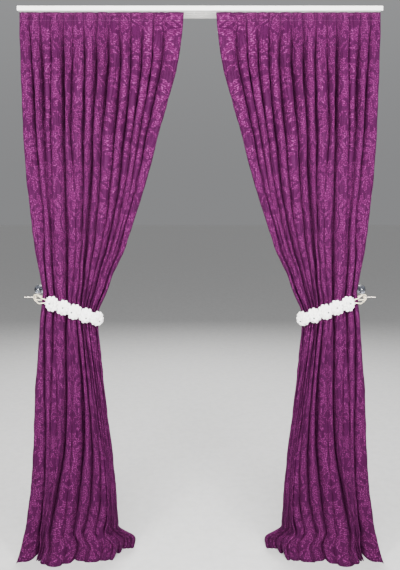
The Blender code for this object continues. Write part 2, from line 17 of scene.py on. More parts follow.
import bmesh
import bpy
import numpy as np
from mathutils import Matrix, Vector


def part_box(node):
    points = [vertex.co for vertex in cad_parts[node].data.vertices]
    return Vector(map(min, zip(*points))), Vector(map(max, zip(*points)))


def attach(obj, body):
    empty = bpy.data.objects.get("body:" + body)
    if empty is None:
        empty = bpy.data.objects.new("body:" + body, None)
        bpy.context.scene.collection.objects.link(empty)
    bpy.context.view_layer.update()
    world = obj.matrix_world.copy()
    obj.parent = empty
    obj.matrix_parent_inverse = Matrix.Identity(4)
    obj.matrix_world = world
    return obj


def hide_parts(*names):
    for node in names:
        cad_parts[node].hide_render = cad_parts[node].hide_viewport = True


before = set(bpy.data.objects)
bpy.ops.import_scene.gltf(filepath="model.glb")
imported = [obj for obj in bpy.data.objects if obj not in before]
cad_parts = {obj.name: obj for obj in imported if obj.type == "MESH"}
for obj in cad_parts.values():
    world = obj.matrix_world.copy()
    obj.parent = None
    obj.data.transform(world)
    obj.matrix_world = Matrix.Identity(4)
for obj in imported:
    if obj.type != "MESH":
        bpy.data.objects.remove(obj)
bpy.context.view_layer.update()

log = logging.getLogger("curtains")
Array = np.ndarray
Socket = bpy.types.NodeSocket
Node = bpy.types.Node
Piece = bpy.types.Object
Pair = tuple[float, float]
Triple = tuple[float, float, float]
Colour = tuple[float, float, float, float]

MM = 0.001
TURN = 2 * math.pi
X_AXIS, Y_AXIS, Z_AXIS = np.eye(3)
RING_STEPS = 24
OPEN_STEPS = 16
NOISE_CELLS = 97
BLOCK_GRID = (11, 20)

# Silhouette of the left curtain: a height, and the X of its outer and inner edge there
EDGES = (
    (-0.02, -0.853, -0.076), (-0.14, -0.853, -0.086), (-0.263, -0.85, -0.104),
    (-0.382, -0.847, -0.135), (-0.619, -0.836, -0.202), (-0.818, -0.818, -0.253),
    (-1.06, -0.79, -0.331), (-1.181, -0.776, -0.374), (-1.249, -0.764, -0.405),
    (-1.301, -0.754, -0.424), (-1.349, -0.744, -0.443), (-1.3725, -0.7487, -0.4545),
    (-1.4, -0.75, -0.468), (-1.44, -0.757, -0.482), (-1.505, -0.764, -0.483),
    (-1.602, -0.768, -0.474), (-1.723, -0.775, -0.461), (-1.946, -0.782, -0.431),
    (-2.193, -0.792, -0.398), (-2.313, -0.804, -0.389), (-2.434, -0.82, -0.386),
    (-2.485, -0.83, -0.384), (-2.51, -0.835, -0.36), (-2.535, -0.84, -0.328),
    (-2.57, -0.848, -0.316), (-2.6, -0.855, -0.321),
)

# Rows of the cloth, heading to hem: a height, how far the row's inner end lies below
# its outer end, the Y of the line of crests, and how far that line curves back towards
# both edges
HEADING_TOP_Z = -0.0207
HEM_Z = -2.5988
ROWS = (
    (HEADING_TOP_Z, 0.0, -0.047, 0.0), (-0.076, 0.0, -0.047, 0.0),
    (-0.12, 0.002, -0.058, 0.003), (-0.2, 0.008, -0.063, 0.006),
    (-0.42, 0.02, -0.065, 0.01), (-0.68, 0.034, -0.065, 0.013),
    (-0.94, 0.05, -0.066, 0.017), (-1.14, 0.068, -0.068, 0.023),
    (-1.29, 0.085, -0.072, 0.034), (-1.39, 0.095, -0.074, 0.043),
    (-1.45, 0.095, -0.074, 0.043), (-1.55, 0.085, -0.074, 0.036),
    (-1.74, 0.06, -0.075, 0.028), (-2.02, 0.035, -0.076, 0.022),
    (-2.28, 0.015, -0.078, 0.018), (-2.45, 0.005, -0.082, 0.015),
    (-2.545, 0.0, -0.092, 0.012), (-2.585, 0.0, -0.106, 0.008),
    (HEM_Z, 0.0, -0.122, 0.0),
)

# Folds from the outer edge to the inner one: each one's width across the curtain, in
# millimetres, at seven heights. The widths at a height are scaled to the curtain's
# width there.
WIDTH_HEIGHTS = (-0.076, -0.575, -0.940, -1.420, -1.950, -2.380, -2.600)
FOLD_WIDTHS = (
    (46, 58, 59, 27, 53, 69, 82), (50, 41, 35, 36, 26, 17, 12), (51, 34, 20, 20, 27, 17, 12),
    (54, 63, 56, 44, 39, 17, 34), (49, 33, 56, 25, 39, 64, 76), (52, 56, 31, 24, 46, 51, 50),
    (57, 45, 25, 24, 33, 54, 55), (57, 49, 42, 14, 29, 50, 64), (53, 59, 51, 11, 14, 43, 45),
    (55, 44, 28, 11, 10, 10, 26), (52, 41, 28, 11, 9, 10, 24), (55, 35, 24, 11, 9, 10, 19),
    (51, 31, 22, 11, 9, 10, 19), (88, 59, 32, 11, 8, 9, 18),
)

# How deep the valley after each fold lies behind the line of crests, in millimetres.
# The first row is the outer edge itself.
DEPTH_HEIGHTS = (-0.076, -0.170, -0.940, -1.420, -1.950, -2.380, -2.600)
VALLEY_DEPTHS = (
    (3, 20, 20, 12, 14, 18, 24), (3, 44, 48, 50, 40, 48, 118), (3, 40, 36, 56, 20, 14, 70),
    (3, 32, 22, 22, 15, 14, 60), (3, 44, 52, 78, 90, 62, 20), (3, 32, 20, 20, 16, 34, 22),
    (3, 34, 42, 34, 74, 58, 64), (3, 40, 54, 60, 62, 36, 36), (3, 44, 62, 40, 36, 46, 54),
    (3, 34, 46, 42, 30, 54, 62), (3, 40, 50, 38, 18, 10, 132), (3, 32, 38, 36, 16, 10, 160),
    (3, 42, 42, 36, 16, 10, 162), (3, 32, 34, 32, 14, 10, 164), (3, 16, 16, 14, 16, 16, 176),
)

# How open the valley after each fold is, from a shut slit at 0 to a wide hollow at 1
OPEN_HEIGHTS = (-0.076, -0.940, -1.420, -1.950, -2.600)
VALLEY_OPENINGS = (
    (0.0, 0.0, 0.0, 0.0, 0.0), (0.1, 0.3, 0.0, 0.6, 0.7), (0.7, 0.7, 0.2, 0.2, 0.1),
    (0.1, 0.3, 0.0, 0.1, 0.3), (0.8, 0.8, 0.2, 0.8, 0.6), (0.4, 0.2, 0.0, 0.1, 0.2),
    (0.1, 0.1, 0.0, 0.6, 0.8), (0.8, 0.7, 0.2, 0.4, 0.3), (0.7, 0.3, 0.0, 0.2, 0.3),
    (0.6, 0.4, 0.1, 0.4, 0.6), (0.1, 0.2, 0.0, 0.0, 0.3), (0.6, 0.5, 0.1, 0.0, 0.3),
    (0.2, 0.2, 0.0, 0.0, 0.2), (0.4, 0.2, 0.0, 0.0, 0.2), (0.0, 0.0, 0.0, 0.0, 0.0),
)

# How far each fold's crest is held back from the line of crests, in millimetres
CREST_HEIGHTS = (-0.076, -0.940, -1.420, -1.950, -2.380, -2.600)
CREST_SETBACKS = (
    (0, 0, 2, 3, 4, 42), (0, 8, 4, 10, 9, 49), (0, 26, 12, 9, 10, 46), (0, 0, 0, 0, 8, 22),
    (0, 4, 4, 5, 2, 0), (0, 0, 0, 0, 0, 26), (0, 3, 2, 4, 0, 48), (0, 0, 0, 0, 4, 38),
    (0, 4, 8, 8, 5, 50), (0, 0, 2, 8, 5, 54), (0, 6, 10, 9, 6, 112), (0, 0, 2, 7, 6, 154),
    (0, 5, 8, 7, 6, 156), (0, 0, 4, 4, 6, 158),
)

# Routes of the two cord loops that hook the left band, as (X, Y, Z)
FRONT_LOOP = (
    (-0.7245, -0.0655, -1.3775), (-0.743, -0.063, -1.37), (-0.762, -0.042, -1.362),
    (-0.785, 0.01, -1.364), (-0.806, 0.048, -1.371), (-0.8115, 0.06, -1.3764),
    (-0.8125, 0.0643, -1.3831), (-0.8115, 0.06, -1.3898), (-0.806, 0.048, -1.3935),
    (-0.785, 0.01, -1.3985), (-0.762, -0.042, -1.3975), (-0.743, -0.063, -1.393),
    (-0.7245, -0.0655, -1.3895),
)
BACK_LOOP = (
    (-0.7406, 0.0006, -1.3795), (-0.76, 0.02, -1.375), (-0.784, 0.04, -1.3715),
    (-0.8, 0.05, -1.3722), (-0.804, 0.06, -1.3762), (-0.8045, 0.0643, -1.3831),
    (-0.804, 0.06, -1.39), (-0.8, 0.05, -1.3935), (-0.784, 0.04, -1.393),
    (-0.76, 0.02, -1.391), (-0.7406, 0.0006, -1.3885),
)


class Side(Enum):
    """Which of the two curtains a piece belongs to."""

    LEFT = "left"
    RIGHT = "right"

    def turn(self, points: Array) -> Array:
        """Left points as they are, and the mirror image of points on the right."""
        return points if self is Side.LEFT else points * np.array((-1.0, 1.0, 1.0))


class Edge(Enum):
    """Side edge of the left curtain, by its column in EDGES."""

    OUTER = 1
    INNER = 2

    def x(self, height: Array | float) -> Array:
        """X of the edge at the given heights."""
        table = np.array(EDGES)
        return eased(height, table[:, 0], table[:, self.value])


# Geometry


def eased(at: Array | float, stations: Array, values: Array) -> Array:
    """Cubic Hermite curve through values at falling stations.

    The slope at each station is the central difference of its neighbours.

    Args:
        at: Heights to read.
        stations: Falling heights of the given values.
        values: One value, or one row of values, for each station.

    Returns:
        The values at the heights.
    """
    stations = -np.asarray(stations, float)
    values = np.asarray(values, float)
    slopes = np.gradient(values, stations, axis=0)
    place = np.clip(-np.asarray(at, float), stations[0], stations[-1])
    low = np.clip(np.searchsorted(stations, place, side="right") - 1, 0, len(stations) - 2)
    span = stations[low + 1] - stations[low]
    t = (place - stations[low]) / span
    if values.ndim > 1:
        t = t[:, None]
        span = span[:, None]
    start = (1 + 2 * t) * (1 - t) ** 2 * values[low]
    start_slope = t * (1 - t) ** 2 * span * slopes[low]
    end = t * t * (3 - 2 * t) * values[low + 1]
    end_slope = t * t * (t - 1) * span * slopes[low + 1]
    return start + start_slope + end + end_slope


def grown(value: Array, low: float, high: float) -> Array:
    """Straight step: 0 below low, 1 above high, and a share t of the way between them."""
    return np.clip((value - low) / (high - low), 0, 1)


def ramp(value: Array, low: float, high: float) -> Array:
    """Smooth step: 0 below low, 1 above high, and 3t^2 - 2t^3 between them."""
    t = grown(value, low, high)
    return t * t * (3 - 2 * t)


def soft_noise(u: Array, v: Array, cell: Pair, seed: int) -> Array:
    """Smooth random field, from -1 to 1.

    Random numbers stand at the corners of a grid of cells. Inside a cell they are
    blended in both directions with the weight 3t^2 - 2t^3.

    Args:
        u: First coordinate of each point.
        v: Second coordinate of each point.
        cell: Size of a cell along both coordinates.
        seed: Seed of the random numbers.

    Returns:
        The field at each point.
    """
    table = np.random.default_rng(seed).uniform(-1, 1, (NOISE_CELLS, NOISE_CELLS))
    x, y = u / cell[0], v / cell[1]
    left, low = np.floor(x).astype(int), np.floor(y).astype(int)
    across, up = ramp(x - left, 0, 1), ramp(y - low, 0, 1)
    corner = [table[(left + i) % NOISE_CELLS, (low + j) % NOISE_CELLS] for j in (0, 1) for i in (0, 1)]
    bottom = corner[0] * (1 - across) + corner[1] * across
    top = corner[2] * (1 - across) + corner[3] * across
    return bottom * (1 - up) + top * up


def stacked(*axes: Array | float) -> Array:
    """Coordinates put together as points, each spread over the shape common to all."""
    return np.stack(np.broadcast_arrays(*axes), axis=-1)


def angles(sides: int) -> Array:
    """Evenly spaced angles of one full turn."""
    return np.arange(sides) * TURN / sides


def globe(rings: int, sides: int) -> tuple[Array, Array]:
    """Latitudes from pole to pole, as a column, and longitudes."""
    return np.linspace(-math.pi / 2, math.pi / 2, rings)[:, None], angles(sides)


def unit(vectors: Array) -> Array:
    """Vectors scaled to a length of 1."""
    return vectors / np.linalg.norm(vectors, axis=-1, keepdims=True)


def lengths_along(points: Array) -> Array:
    """Distance along a line of points, starting at 0."""
    steps = np.linalg.norm(np.diff(points, axis=0), axis=1)
    return np.concatenate([[0.0], np.cumsum(steps)])


def read_line(line: Array, distances: Array) -> Array:
    """Points of a line at the given distances along it."""
    along = lengths_along(line)
    return np.stack([np.interp(distances, along, axis) for axis in line.T], axis=-1)


def smooth_route(points: tuple, count: int, ring: bool = False) -> Array:
    """Catmull-Rom curve through points, read at equal distances along it.

    From b to c, with a before and d after them, it is half of 2b + (c - a) t
    + (2a - 5b + 4c - d) t^2 + (3b - a - 3c + d) t^3. An open route is continued
    straight beyond both of its ends.

    Args:
        points: Points of the route, in order.
        count: Number of points wanted.
        ring: Whether the route is closed.

    Returns:
        The points of the curve.
    """
    route = np.array(points, float)
    before, beyond = [2 * route[0] - route[1]], [2 * route[-1] - route[-2]]
    if ring:
        before, beyond = route[-1:], route[:2]
    padded = np.concatenate([before, route, beyond])
    a, b, c, d = (padded[shift : len(padded) - 3 + shift, None] for shift in range(4))
    t = np.linspace(0, 1, RING_STEPS if ring else OPEN_STEPS, endpoint=False)[None, :, None]
    curve = 2 * b + (c - a) * t + (2 * a - 5 * b + 4 * c - d) * t**2
    curve = (curve + (3 * b - a - 3 * c + d) * t**3) / 2
    line = np.concatenate([curve.reshape(-1, 3), route[:1] if ring else route[-1:]])
    return read_line(line, np.linspace(0, lengths_along(line)[-1], count, endpoint=not ring))


def grid_faces(rows: int, columns: int, ring_rows: bool, ring_columns: bool) -> Array:
    """Quads over a grid of points, numbered row by row.

    Args:
        rows: Number of rows of points.
        columns: Number of points in a row.
        ring_rows: Whether the last row joins the first.
        ring_columns: Whether the last column joins the first.

    Returns:
        One row of four point numbers for each quad.
    """
    row = np.arange(rows if ring_rows else rows - 1)[:, None]
    column = np.arange(columns if ring_columns else columns - 1)
    after, below = (column + 1) % columns, (row + 1) % rows
    corners = (row * columns + column, row * columns + after)
    corners += (below * columns + after, below * columns + column)
    return np.stack(corners, axis=-1).reshape(-1, 4)


@dataclass
class Surface:
    """Points, quads and pattern coordinates of one or several grids."""

    points: Array
    faces: Array
    pattern: Array

    @classmethod
    def from_grid(
        cls, points: Array, pattern: Array | None = None, ring_rows: bool = False, ring_columns: bool = False
    ) -> Surface:
        """Surface over a grid of points.

        Args:
            points: Rows by columns by XYZ.
            pattern: Pattern coordinates of the points, or else their X and Y.
            ring_rows: Whether the last row joins the first.
            ring_columns: Whether the last column joins the first.

        Returns:
            The surface.
        """
        faces = grid_faces(*points.shape[:2], ring_rows, ring_columns)
        if pattern is None:
            pattern = points[..., :2]
        return cls(points.reshape(-1, 3), faces, pattern.reshape(-1, 2))

    @classmethod
    def joined(cls, parts: list[Surface]) -> Surface:
        """One surface of several, with their quads renumbered.

        Args:
            parts: The surfaces.

        Returns:
            The surface of all their points and quads.
        """
        starts = np.cumsum([0] + [len(part.points) for part in parts[:-1]])
        return cls(
            np.concatenate([part.points for part in parts]),
            np.concatenate([part.faces + start for part, start in zip(parts, starts)]),
            np.concatenate([part.pattern for part in parts]),
        )

    def moved(self, offset: Array, axes: Array | None = None) -> Surface:
        """The same surface shifted by an offset, and before that turned to other axes."""
        points = self.points if axes is None else self.points @ axes
        return Surface(points + offset, self.faces, self.pattern)

    def make(self, name: str, side: Side, closed: bool = True, smooth: bool = True) -> Piece:
        """Object of this surface, at the origin.

        Args:
            name: Name of the piece.
            side: Side whose mirror image the points take.
            closed: Whether each part is a closed body, whose doubled points are
                merged and whose faces are turned outwards.
            smooth: Whether the faces are shaded smooth.

        Returns:
            The object, linked to the scene.
        """
        mesh = bpy.data.meshes.new(name)
        mesh.from_pydata(side.turn(self.points).tolist(), [], self.faces.tolist())
        corner_point = np.empty(len(mesh.loops), dtype=np.int32)
        mesh.loops.foreach_get("vertex_index", corner_point)
        pattern = mesh.uv_layers.new(name="pattern")
        pattern.uv.foreach_set("vector", self.pattern[corner_point].astype(np.float32).ravel())
        if closed:
            shape = bmesh.new()
            shape.from_mesh(mesh)
            bmesh.ops.remove_doubles(shape, verts=shape.verts, dist=1e-6)
            bmesh.ops.recalc_face_normals(shape, faces=shape.faces)
            shape.to_mesh(mesh)
            shape.free()
        mesh.polygons.foreach_set("use_smooth", np.full(len(mesh.polygons), smooth))
        mesh.update()
        return linked(bpy.data.objects.new(name, mesh))


def linked(item: Piece) -> Piece:
    """Put an object into the scene."""
    bpy.context.scene.collection.objects.link(item)
    return item


def tube(route: Array, radius: Array | float, flat: Array, sides: int, ring: bool = False) -> Surface:
    """Tube round a route that lies close to one plane.

    At each point of the route a circle stands square to it. Its first axis is the
    plane's normal made square to the route, and its second the cross product of both.
    The two ends are drawn to a point unless the route is a ring.

    Args:
        route: Points of the route.
        radius: Radius, or a radius for each point and each side.
        flat: Normal of the plane.
        sides: Number of points round the tube.
        ring: Whether the route is closed.

    Returns:
        The tube, with the distance round and along it as pattern.
    """
    if ring:
        ahead = np.roll(route, -1, axis=0) - np.roll(route, 1, axis=0)
    else:
        ahead = np.gradient(route, axis=0)
    ahead = unit(ahead)
    first = unit(flat - ahead * (ahead @ flat)[:, None])
    second = np.cross(ahead, first)
    angle = angles(sides)
    reach = np.broadcast_to(radius, (len(route), sides))
    around = first[:, None] * np.cos(angle)[:, None] + second[:, None] * np.sin(angle)[:, None]
    points = route[:, None] + around * reach[..., None]
    along = lengths_along(route)
    if not ring:
        ends = np.broadcast_to(route[[0, -1], None], (2, sides, 3))
        points = np.concatenate([ends[:1], points, ends[1:]])
        along = np.concatenate([along[:1], along, along[-1:]])
    girth = angle * float(np.mean(reach))
    return Surface.from_grid(points, stacked(girth, along[:, None]), ring_rows=ring, ring_columns=True)


def lathe(profile: Array | tuple, centre: tuple, sides: int) -> Surface:
    """Profile turned about an upright line: X and Y are the radius times cosine and sine.

    Args:
        profile: Radius and height of each ring.
        centre: Point of the line from which the heights count.
        sides: Number of points round a ring.

    Returns:
        The turned surface.
    """
    radius, height = np.array(profile).T[..., None]
    angle = angles(sides)
    points = stacked(radius * np.cos(angle), radius * np.sin(angle), height)
    return Surface.from_grid(points + centre, ring_columns=True)


def rounded_block(centre: Triple, half: Triple, power: float = 0.35) -> Surface:
    """Box with soft edges: a sphere whose sines and cosines are raised to a low power.

    Args:
        centre: Middle of the box.
        half: Half of its width, depth and height.
        power: The power, at which 1 gives an ellipsoid and 0 a sharp box.

    Returns:
        The box.
    """
    latitude, longitude = globe(*BLOCK_GRID)
    waves = (np.cos(latitude), np.sin(latitude), np.cos(longitude), np.sin(longitude))
    wide, high, forth, aside = (np.sign(wave) * np.abs(wave) ** power for wave in waves)
    return Surface.from_grid(stacked(wide * forth, wide * aside, high) * half + centre, ring_columns=True)


# Materials


class Nodes:
    """Short ways to add and link the nodes of one tree."""

    def __init__(self, tree: bpy.types.NodeTree) -> None:
        """Keep the tree."""
        self.tree = tree

    @classmethod
    def field_group(cls, name: str, points: tuple[str, ...], numbers: tuple[str, ...] = ()) -> Nodes:
        """Start a node group that turns points and numbers into one field.

        Args:
            name: Name of the group.
            points: Names of the inputs that are points.
            numbers: Names of the inputs that are numbers.

        Returns:
            The group's nodes.
        """
        group = bpy.data.node_groups.new(name, "ShaderNodeTree")
        kinds = dict.fromkeys(points, "NodeSocketVector") | dict.fromkeys(numbers, "NodeSocketFloat")
        for title, kind in kinds.items():
            group.interface.new_socket(title, in_out="INPUT", socket_type=kind)
        group.interface.new_socket("Field", in_out="OUTPUT", socket_type="NodeSocketFloat")
        return cls(group)

    def feed(self, socket: Socket, value: Socket | float | tuple) -> None:
        """Link a socket, or set the value of one."""
        if isinstance(value, bpy.types.NodeSocket):
            self.tree.links.new(value, socket)
        else:
            socket.default_value = value

    def add(self, kind: str, inputs: dict | None = None, **settings: object) -> Node:
        """Add a node.

        Args:
            kind: Blender's name of the node.
            inputs: Links and values of its inputs, by name or number.
            settings: Its own settings.

        Returns:
            The node.
        """
        node = self.tree.nodes.new(kind)
        for name, value in settings.items():
            setattr(node, name, value)
        for name, value in (inputs or {}).items():
            self.feed(node.inputs[name], value)
        return node

    def math(self, operation: str, *values: Socket | float) -> Socket:
        """Result of a Math node."""
        return self.add("ShaderNodeMath", dict(enumerate(values)), operation=operation).outputs[0]

    def vector(self, operation: str, *values: Socket | tuple) -> Socket:
        """Vector result of a Vector Math node."""
        return self.add("ShaderNodeVectorMath", dict(enumerate(values)), operation=operation).outputs[0]

    def axes(self, place: Socket) -> bpy.types.NodeOutputs:
        """X, Y and Z of a place."""
        return self.add("ShaderNodeSeparateXYZ", {0: place}).outputs

    def step(self, value: Socket, low: float, high: float, start: float = 0.0, end: float = 1.0) -> Socket:
        """Smooth step of a value from low to high, given as start to end."""
        inputs = {"Value": value, "From Min": low, "From Max": high, "To Min": start, "To Max": end}
        return self.add("ShaderNodeMapRange", inputs, interpolation_type="SMOOTHSTEP").outputs[0]

    def blend(self, factor: Socket | float, first: Socket | tuple, second: Socket | tuple) -> Socket:
        """Colour between two colours.

        Args:
            factor: Share of the second colour.
            first: Colour where the factor is 0.
            second: Colour where the factor is 1.

        Returns:
            The blended colour.
        """
        node = self.add("ShaderNodeMix", data_type="RGBA")
        colours = [socket for socket in node.inputs if socket.type == "RGBA"]
        for socket, value in zip((node.inputs["Factor"], *colours), (factor, first, second)):
            self.feed(socket, value)
        return next(socket for socket in node.outputs if socket.type == "RGBA")

    def noise(self, place: Socket, scale: float, detail: float, rough: float) -> Socket:
        """Noise between 0 and 1 at a place."""
        inputs = {"Vector": place, "Scale": scale, "Detail": detail, "Roughness": rough}
        return self.add("ShaderNodeTexNoise", inputs).outputs[0]

    def cells(self, place: Socket, scale: float, feature: str) -> Socket:
        """Distance in a pattern of irregular cells, in cells: to the centre or the edge."""
        inputs = {"Vector": place, "Scale": scale}
        return self.add("ShaderNodeTexVoronoi", inputs, feature=feature).outputs["Distance"]

    def pattern(self) -> Socket:
        """The piece's own pattern coordinates, in metres."""
        return self.add("ShaderNodeUVMap", uv_map="pattern").outputs[0]

    def place(self) -> Socket:
        """Object coordinates, in metres."""
        return self.add("ShaderNodeTexCoord").outputs["Object"]

    def bump(self, height: Socket, strength: float, distance: float) -> Socket:
        """Normal bent by a height."""
        inputs = {"Height": height, "Strength": strength, "Distance": distance}
        return self.add("ShaderNodeBump", inputs).outputs[0]


def colour(red: float, green: float, blue: float) -> Colour:
    """Opaque linear colour."""
    return (red, green, blue, 1.0)


def toned(base: Colour, shares: Triple) -> Colour:
    """Colour whose red, green and blue are shares of a base colour's."""
    return colour(*(part * share for part, share in zip(base, shares)))


@dataclass(frozen=True)
class Grain:
    """Noise of a finish, on the piece's pattern where it follows that, else on its place."""

    stretch: Triple = (1.0, 1.0, 1.0)
    scale: float = 1.0
    detail: float = 2.0
    rough: float = 0.5
    follows: bool = True

    def field(self, nodes: Nodes, place: Socket | None = None) -> Socket:
        """The noise, between 0 and 1.

        Args:
            nodes: Nodes of the finish.
            place: Place to read it at, if a node for that is already there.

        Returns:
            The noise.
        """
        if place is None:
            place = nodes.pattern() if self.follows else nodes.place()
        return nodes.noise(nodes.vector("MULTIPLY", place, self.stretch), self.scale, self.detail, self.rough)


@dataclass(frozen=True)
class Finish:
    """Base of the finishes: a Principled material whose surface a subclass dresses."""

    name: str
    base: Colour = colour(0.8, 0.8, 0.8)
    roughness: float = 0.5
    sheen: float = 0.0
    sheen_roughness: float = 0.4
    sheen_tint: Colour = colour(1.0, 1.0, 1.0)
    metallic: float = 0.0
    transmission: float = 0.0
    index: float = 1.5
    specular: float = 0.5

    @functools.cache
    def material(self) -> bpy.types.Material:
        """The finish's material, made once.

        Returns:
            The material.
        """
        material = bpy.data.materials.new(self.name)
        material.use_nodes = True
        nodes = Nodes(material.node_tree)
        shader = nodes.tree.nodes["Principled BSDF"]
        values = {
            "Base Color": self.base, "Roughness": self.roughness, "Metallic": self.metallic,
            "IOR": self.index, "Specular IOR Level": self.specular,
            "Transmission Weight": self.transmission, "Sheen Weight": self.sheen,
            "Sheen Roughness": self.sheen_roughness, "Sheen Tint": self.sheen_tint,
        }
        for name, value in values.items():
            shader.inputs[name].default_value = value
        self.dress(nodes, shader)
        return material

    def dress(self, nodes: Nodes, shader: Node) -> None:
        """Link the surface's detail to the shader."""

    def rough_step(self, nodes: Nodes, shader: Node, value: Socket, span: Pair, change: Pair) -> None:
        """Let the roughness change as a value passes from the span's start to its end."""
        ends = (self.roughness + part for part in change)
        nodes.feed(shader.inputs["Roughness"], nodes.step(value, *span, *ends))

    def put_on(self, piece: Piece) -> None:
        """Make this the only finish of a piece, and report it.

        Args:
            piece: The piece, or a CAD node's object.
        """
        piece.data.materials.clear()
        piece.data.materials.append(self.material())
        log.info("%s: %d faces, %s", piece.name, len(piece.data.polygons), self.name)


@dataclass(frozen=True)
class Leaf:
    """One leaf of the damask's motif, in metres from its centre."""

    x: float
    y: float
    turn_degrees: float
    length: float
    width: float
    curl: float = 0.0


@dataclass(frozen=True)
class DamaskWeave:
    """Half-drop damask: an urn of leaves between the two lines of an ogee.

    The cloth is covered twice by cells of the repeat's width and height, the second
    time shifted by half of both. In a cell the motif is mirrored about its middle line.
    A leaf is the region where 1 - s^2 - |t + curl s^2| is positive, with s and t its
    own coordinates in half lengths and half widths.
    """

    repeat_width: float = 0.375
    repeat_height: float = 0.320
    urn: Leaf = Leaf(0.0, 0.004, 90, 0.086, 0.054)
    hollow: Leaf = Leaf(0.0, 0.010, 90, 0.062, 0.034)
    bud: Leaf = Leaf(0.0, 0.012, 90, 0.044, 0.020)
    leaves: tuple[Leaf, ...] = (
        Leaf(0.000, 0.120, 90, 0.032, 0.010), Leaf(0.022, 0.112, 62, 0.030, 0.009, 0.4),
        Leaf(0.046, 0.096, 36, 0.030, 0.009, 0.6), Leaf(0.064, 0.062, 24, 0.032, 0.011, 0.7),
        Leaf(0.070, 0.028, 6, 0.032, 0.012, 0.7), Leaf(0.064, -0.008, -14, 0.030, 0.011, 0.7),
        Leaf(0.048, -0.040, -34, 0.030, 0.010, 0.6), Leaf(0.026, -0.070, -52, 0.028, 0.009, 0.5),
        Leaf(0.000, -0.108, 90, 0.036, 0.009), Leaf(0.118, 0.086, 118, 0.040, 0.013, -0.8),
        Leaf(0.128, 0.016, 96, 0.034, 0.010, 0.7), Leaf(0.112, -0.062, 60, 0.040, 0.012, -0.8),
        Leaf(0.064, -0.118, 30, 0.034, 0.010, 0.8),
    )
    ogee_width: float = 0.0055
    ogee_swell: float = 0.0035
    ogee_leaves: float = 9.0

    def leaf_group(self) -> bpy.types.NodeTree:
        """Group for one leaf.

        Returns:
            The group, whose field is the distance inside the leaf's outline.
        """
        nodes = Nodes.field_group("damask_leaf", ("Place", "Centre"), ("Turn", "Length", "Width", "Curl"))
        given = nodes.add("NodeGroupInput").outputs
        offset = nodes.vector("SUBTRACT", given["Place"], given["Centre"])
        turned = {"Vector": offset, "Angle": given["Turn"]}
        axes = nodes.axes(nodes.add("ShaderNodeVectorRotate", turned, rotation_type="Z_AXIS").outputs[0])
        s = nodes.math("DIVIDE", axes[0], given["Length"])
        t = nodes.math("DIVIDE", axes[1], given["Width"])
        square = nodes.math("MULTIPLY", s, s)
        bent = nodes.math("MULTIPLY_ADD", given["Curl"], square, t)
        left = nodes.math("SUBTRACT", 1.0, square)
        inside = nodes.math("SUBTRACT", left, nodes.math("ABSOLUTE", bent))
        nodes.add("NodeGroupOutput", {0: nodes.math("MULTIPLY", inside, given["Width"])})
        return nodes.tree

    def motif_group(self) -> bpy.types.NodeTree:
        """Group for the motif of a cell: the greatest field of its leaves.

        Returns:
            The group, whose field is the distance inside the motif's outline.
        """
        leaf_tree = self.leaf_group()
        nodes = Nodes.field_group("damask_motif", ("Place",))
        given = nodes.add("NodeGroupInput").outputs["Place"]
        folded = nodes.axes(nodes.vector("ABSOLUTE", given))
        place = nodes.add("ShaderNodeCombineXYZ", {0: folded[0], 1: nodes.axes(given)[1]}).outputs[0]

        def field_of(leaf: Leaf) -> Socket:
            """Field of one leaf at the place."""
            inputs = {
                "Place": place, "Centre": (leaf.x, leaf.y, 0.0), "Turn": -math.radians(leaf.turn_degrees),
                "Length": leaf.length, "Width": leaf.width, "Curl": leaf.curl,
            }
            return nodes.add("ShaderNodeGroup", inputs, node_tree=leaf_tree).outputs[0]

        outside_hollow = nodes.math("MULTIPLY", field_of(self.hollow), -1.0)
        result = nodes.math("MINIMUM", field_of(self.urn), outside_hollow)
        for leaf in (self.bud, *self.leaves):
            result = nodes.math("MAXIMUM", result, field_of(leaf))
        nodes.add("NodeGroupOutput", {0: result})
        return nodes.tree

    def ogee_field(self, nodes: Nodes, place: Socket) -> Socket:
        """Field of the ogee net, whose lines swing about each cell by a cosine.

        Args:
            nodes: Nodes of the finish.
            place: Place in the cell, from its middle.

        Returns:
            The field, in metres inside the net's outline.
        """
        axes = nodes.axes(place)
        across = nodes.math("ABSOLUTE", axes[0])
        phase = nodes.math("MULTIPLY", axes[1], TURN / self.repeat_height)
        swing = nodes.math("ADD", nodes.math("COSINE", phase), 1.0)
        line = nodes.math("MULTIPLY", swing, self.repeat_width / 4)
        away = nodes.math("ABSOLUTE", nodes.math("SUBTRACT", across, line))
        beat = nodes.math("ABSOLUTE", nodes.math("SINE", nodes.math("MULTIPLY", phase, self.ogee_leaves / 2)))
        width = nodes.math("MULTIPLY_ADD", beat, self.ogee_swell, self.ogee_width)
        return nodes.math("SUBTRACT", width, away)

    def field(self, nodes: Nodes, pattern: Socket) -> Socket:
        """Field of the whole cloth's ornament.

        Args:
            nodes: Nodes of the finish.
            pattern: The cloth's pattern coordinates.

        Returns:
            The field, in metres inside the ornament's outline.
        """
        motif_tree = self.motif_group()
        cell = (self.repeat_width, self.repeat_height, 1.0)
        result = None
        for shift in ((0.0, 0.0, 0.0), (0.5, 0.5, 0.0)):
            share = nodes.vector("ADD", nodes.vector("DIVIDE", pattern, cell), shift)
            centred = nodes.vector("SUBTRACT", nodes.vector("FRACTION", share), (0.5, 0.5, 0.0))
            local = nodes.vector("MULTIPLY", centred, cell)
            motif = nodes.add("ShaderNodeGroup", {0: local}, node_tree=motif_tree).outputs[0]
            pair = (motif, self.ogee_field(nodes, local)) if result is None else (result, motif)
            result = nodes.math("MAXIMUM", *pair)
        return result


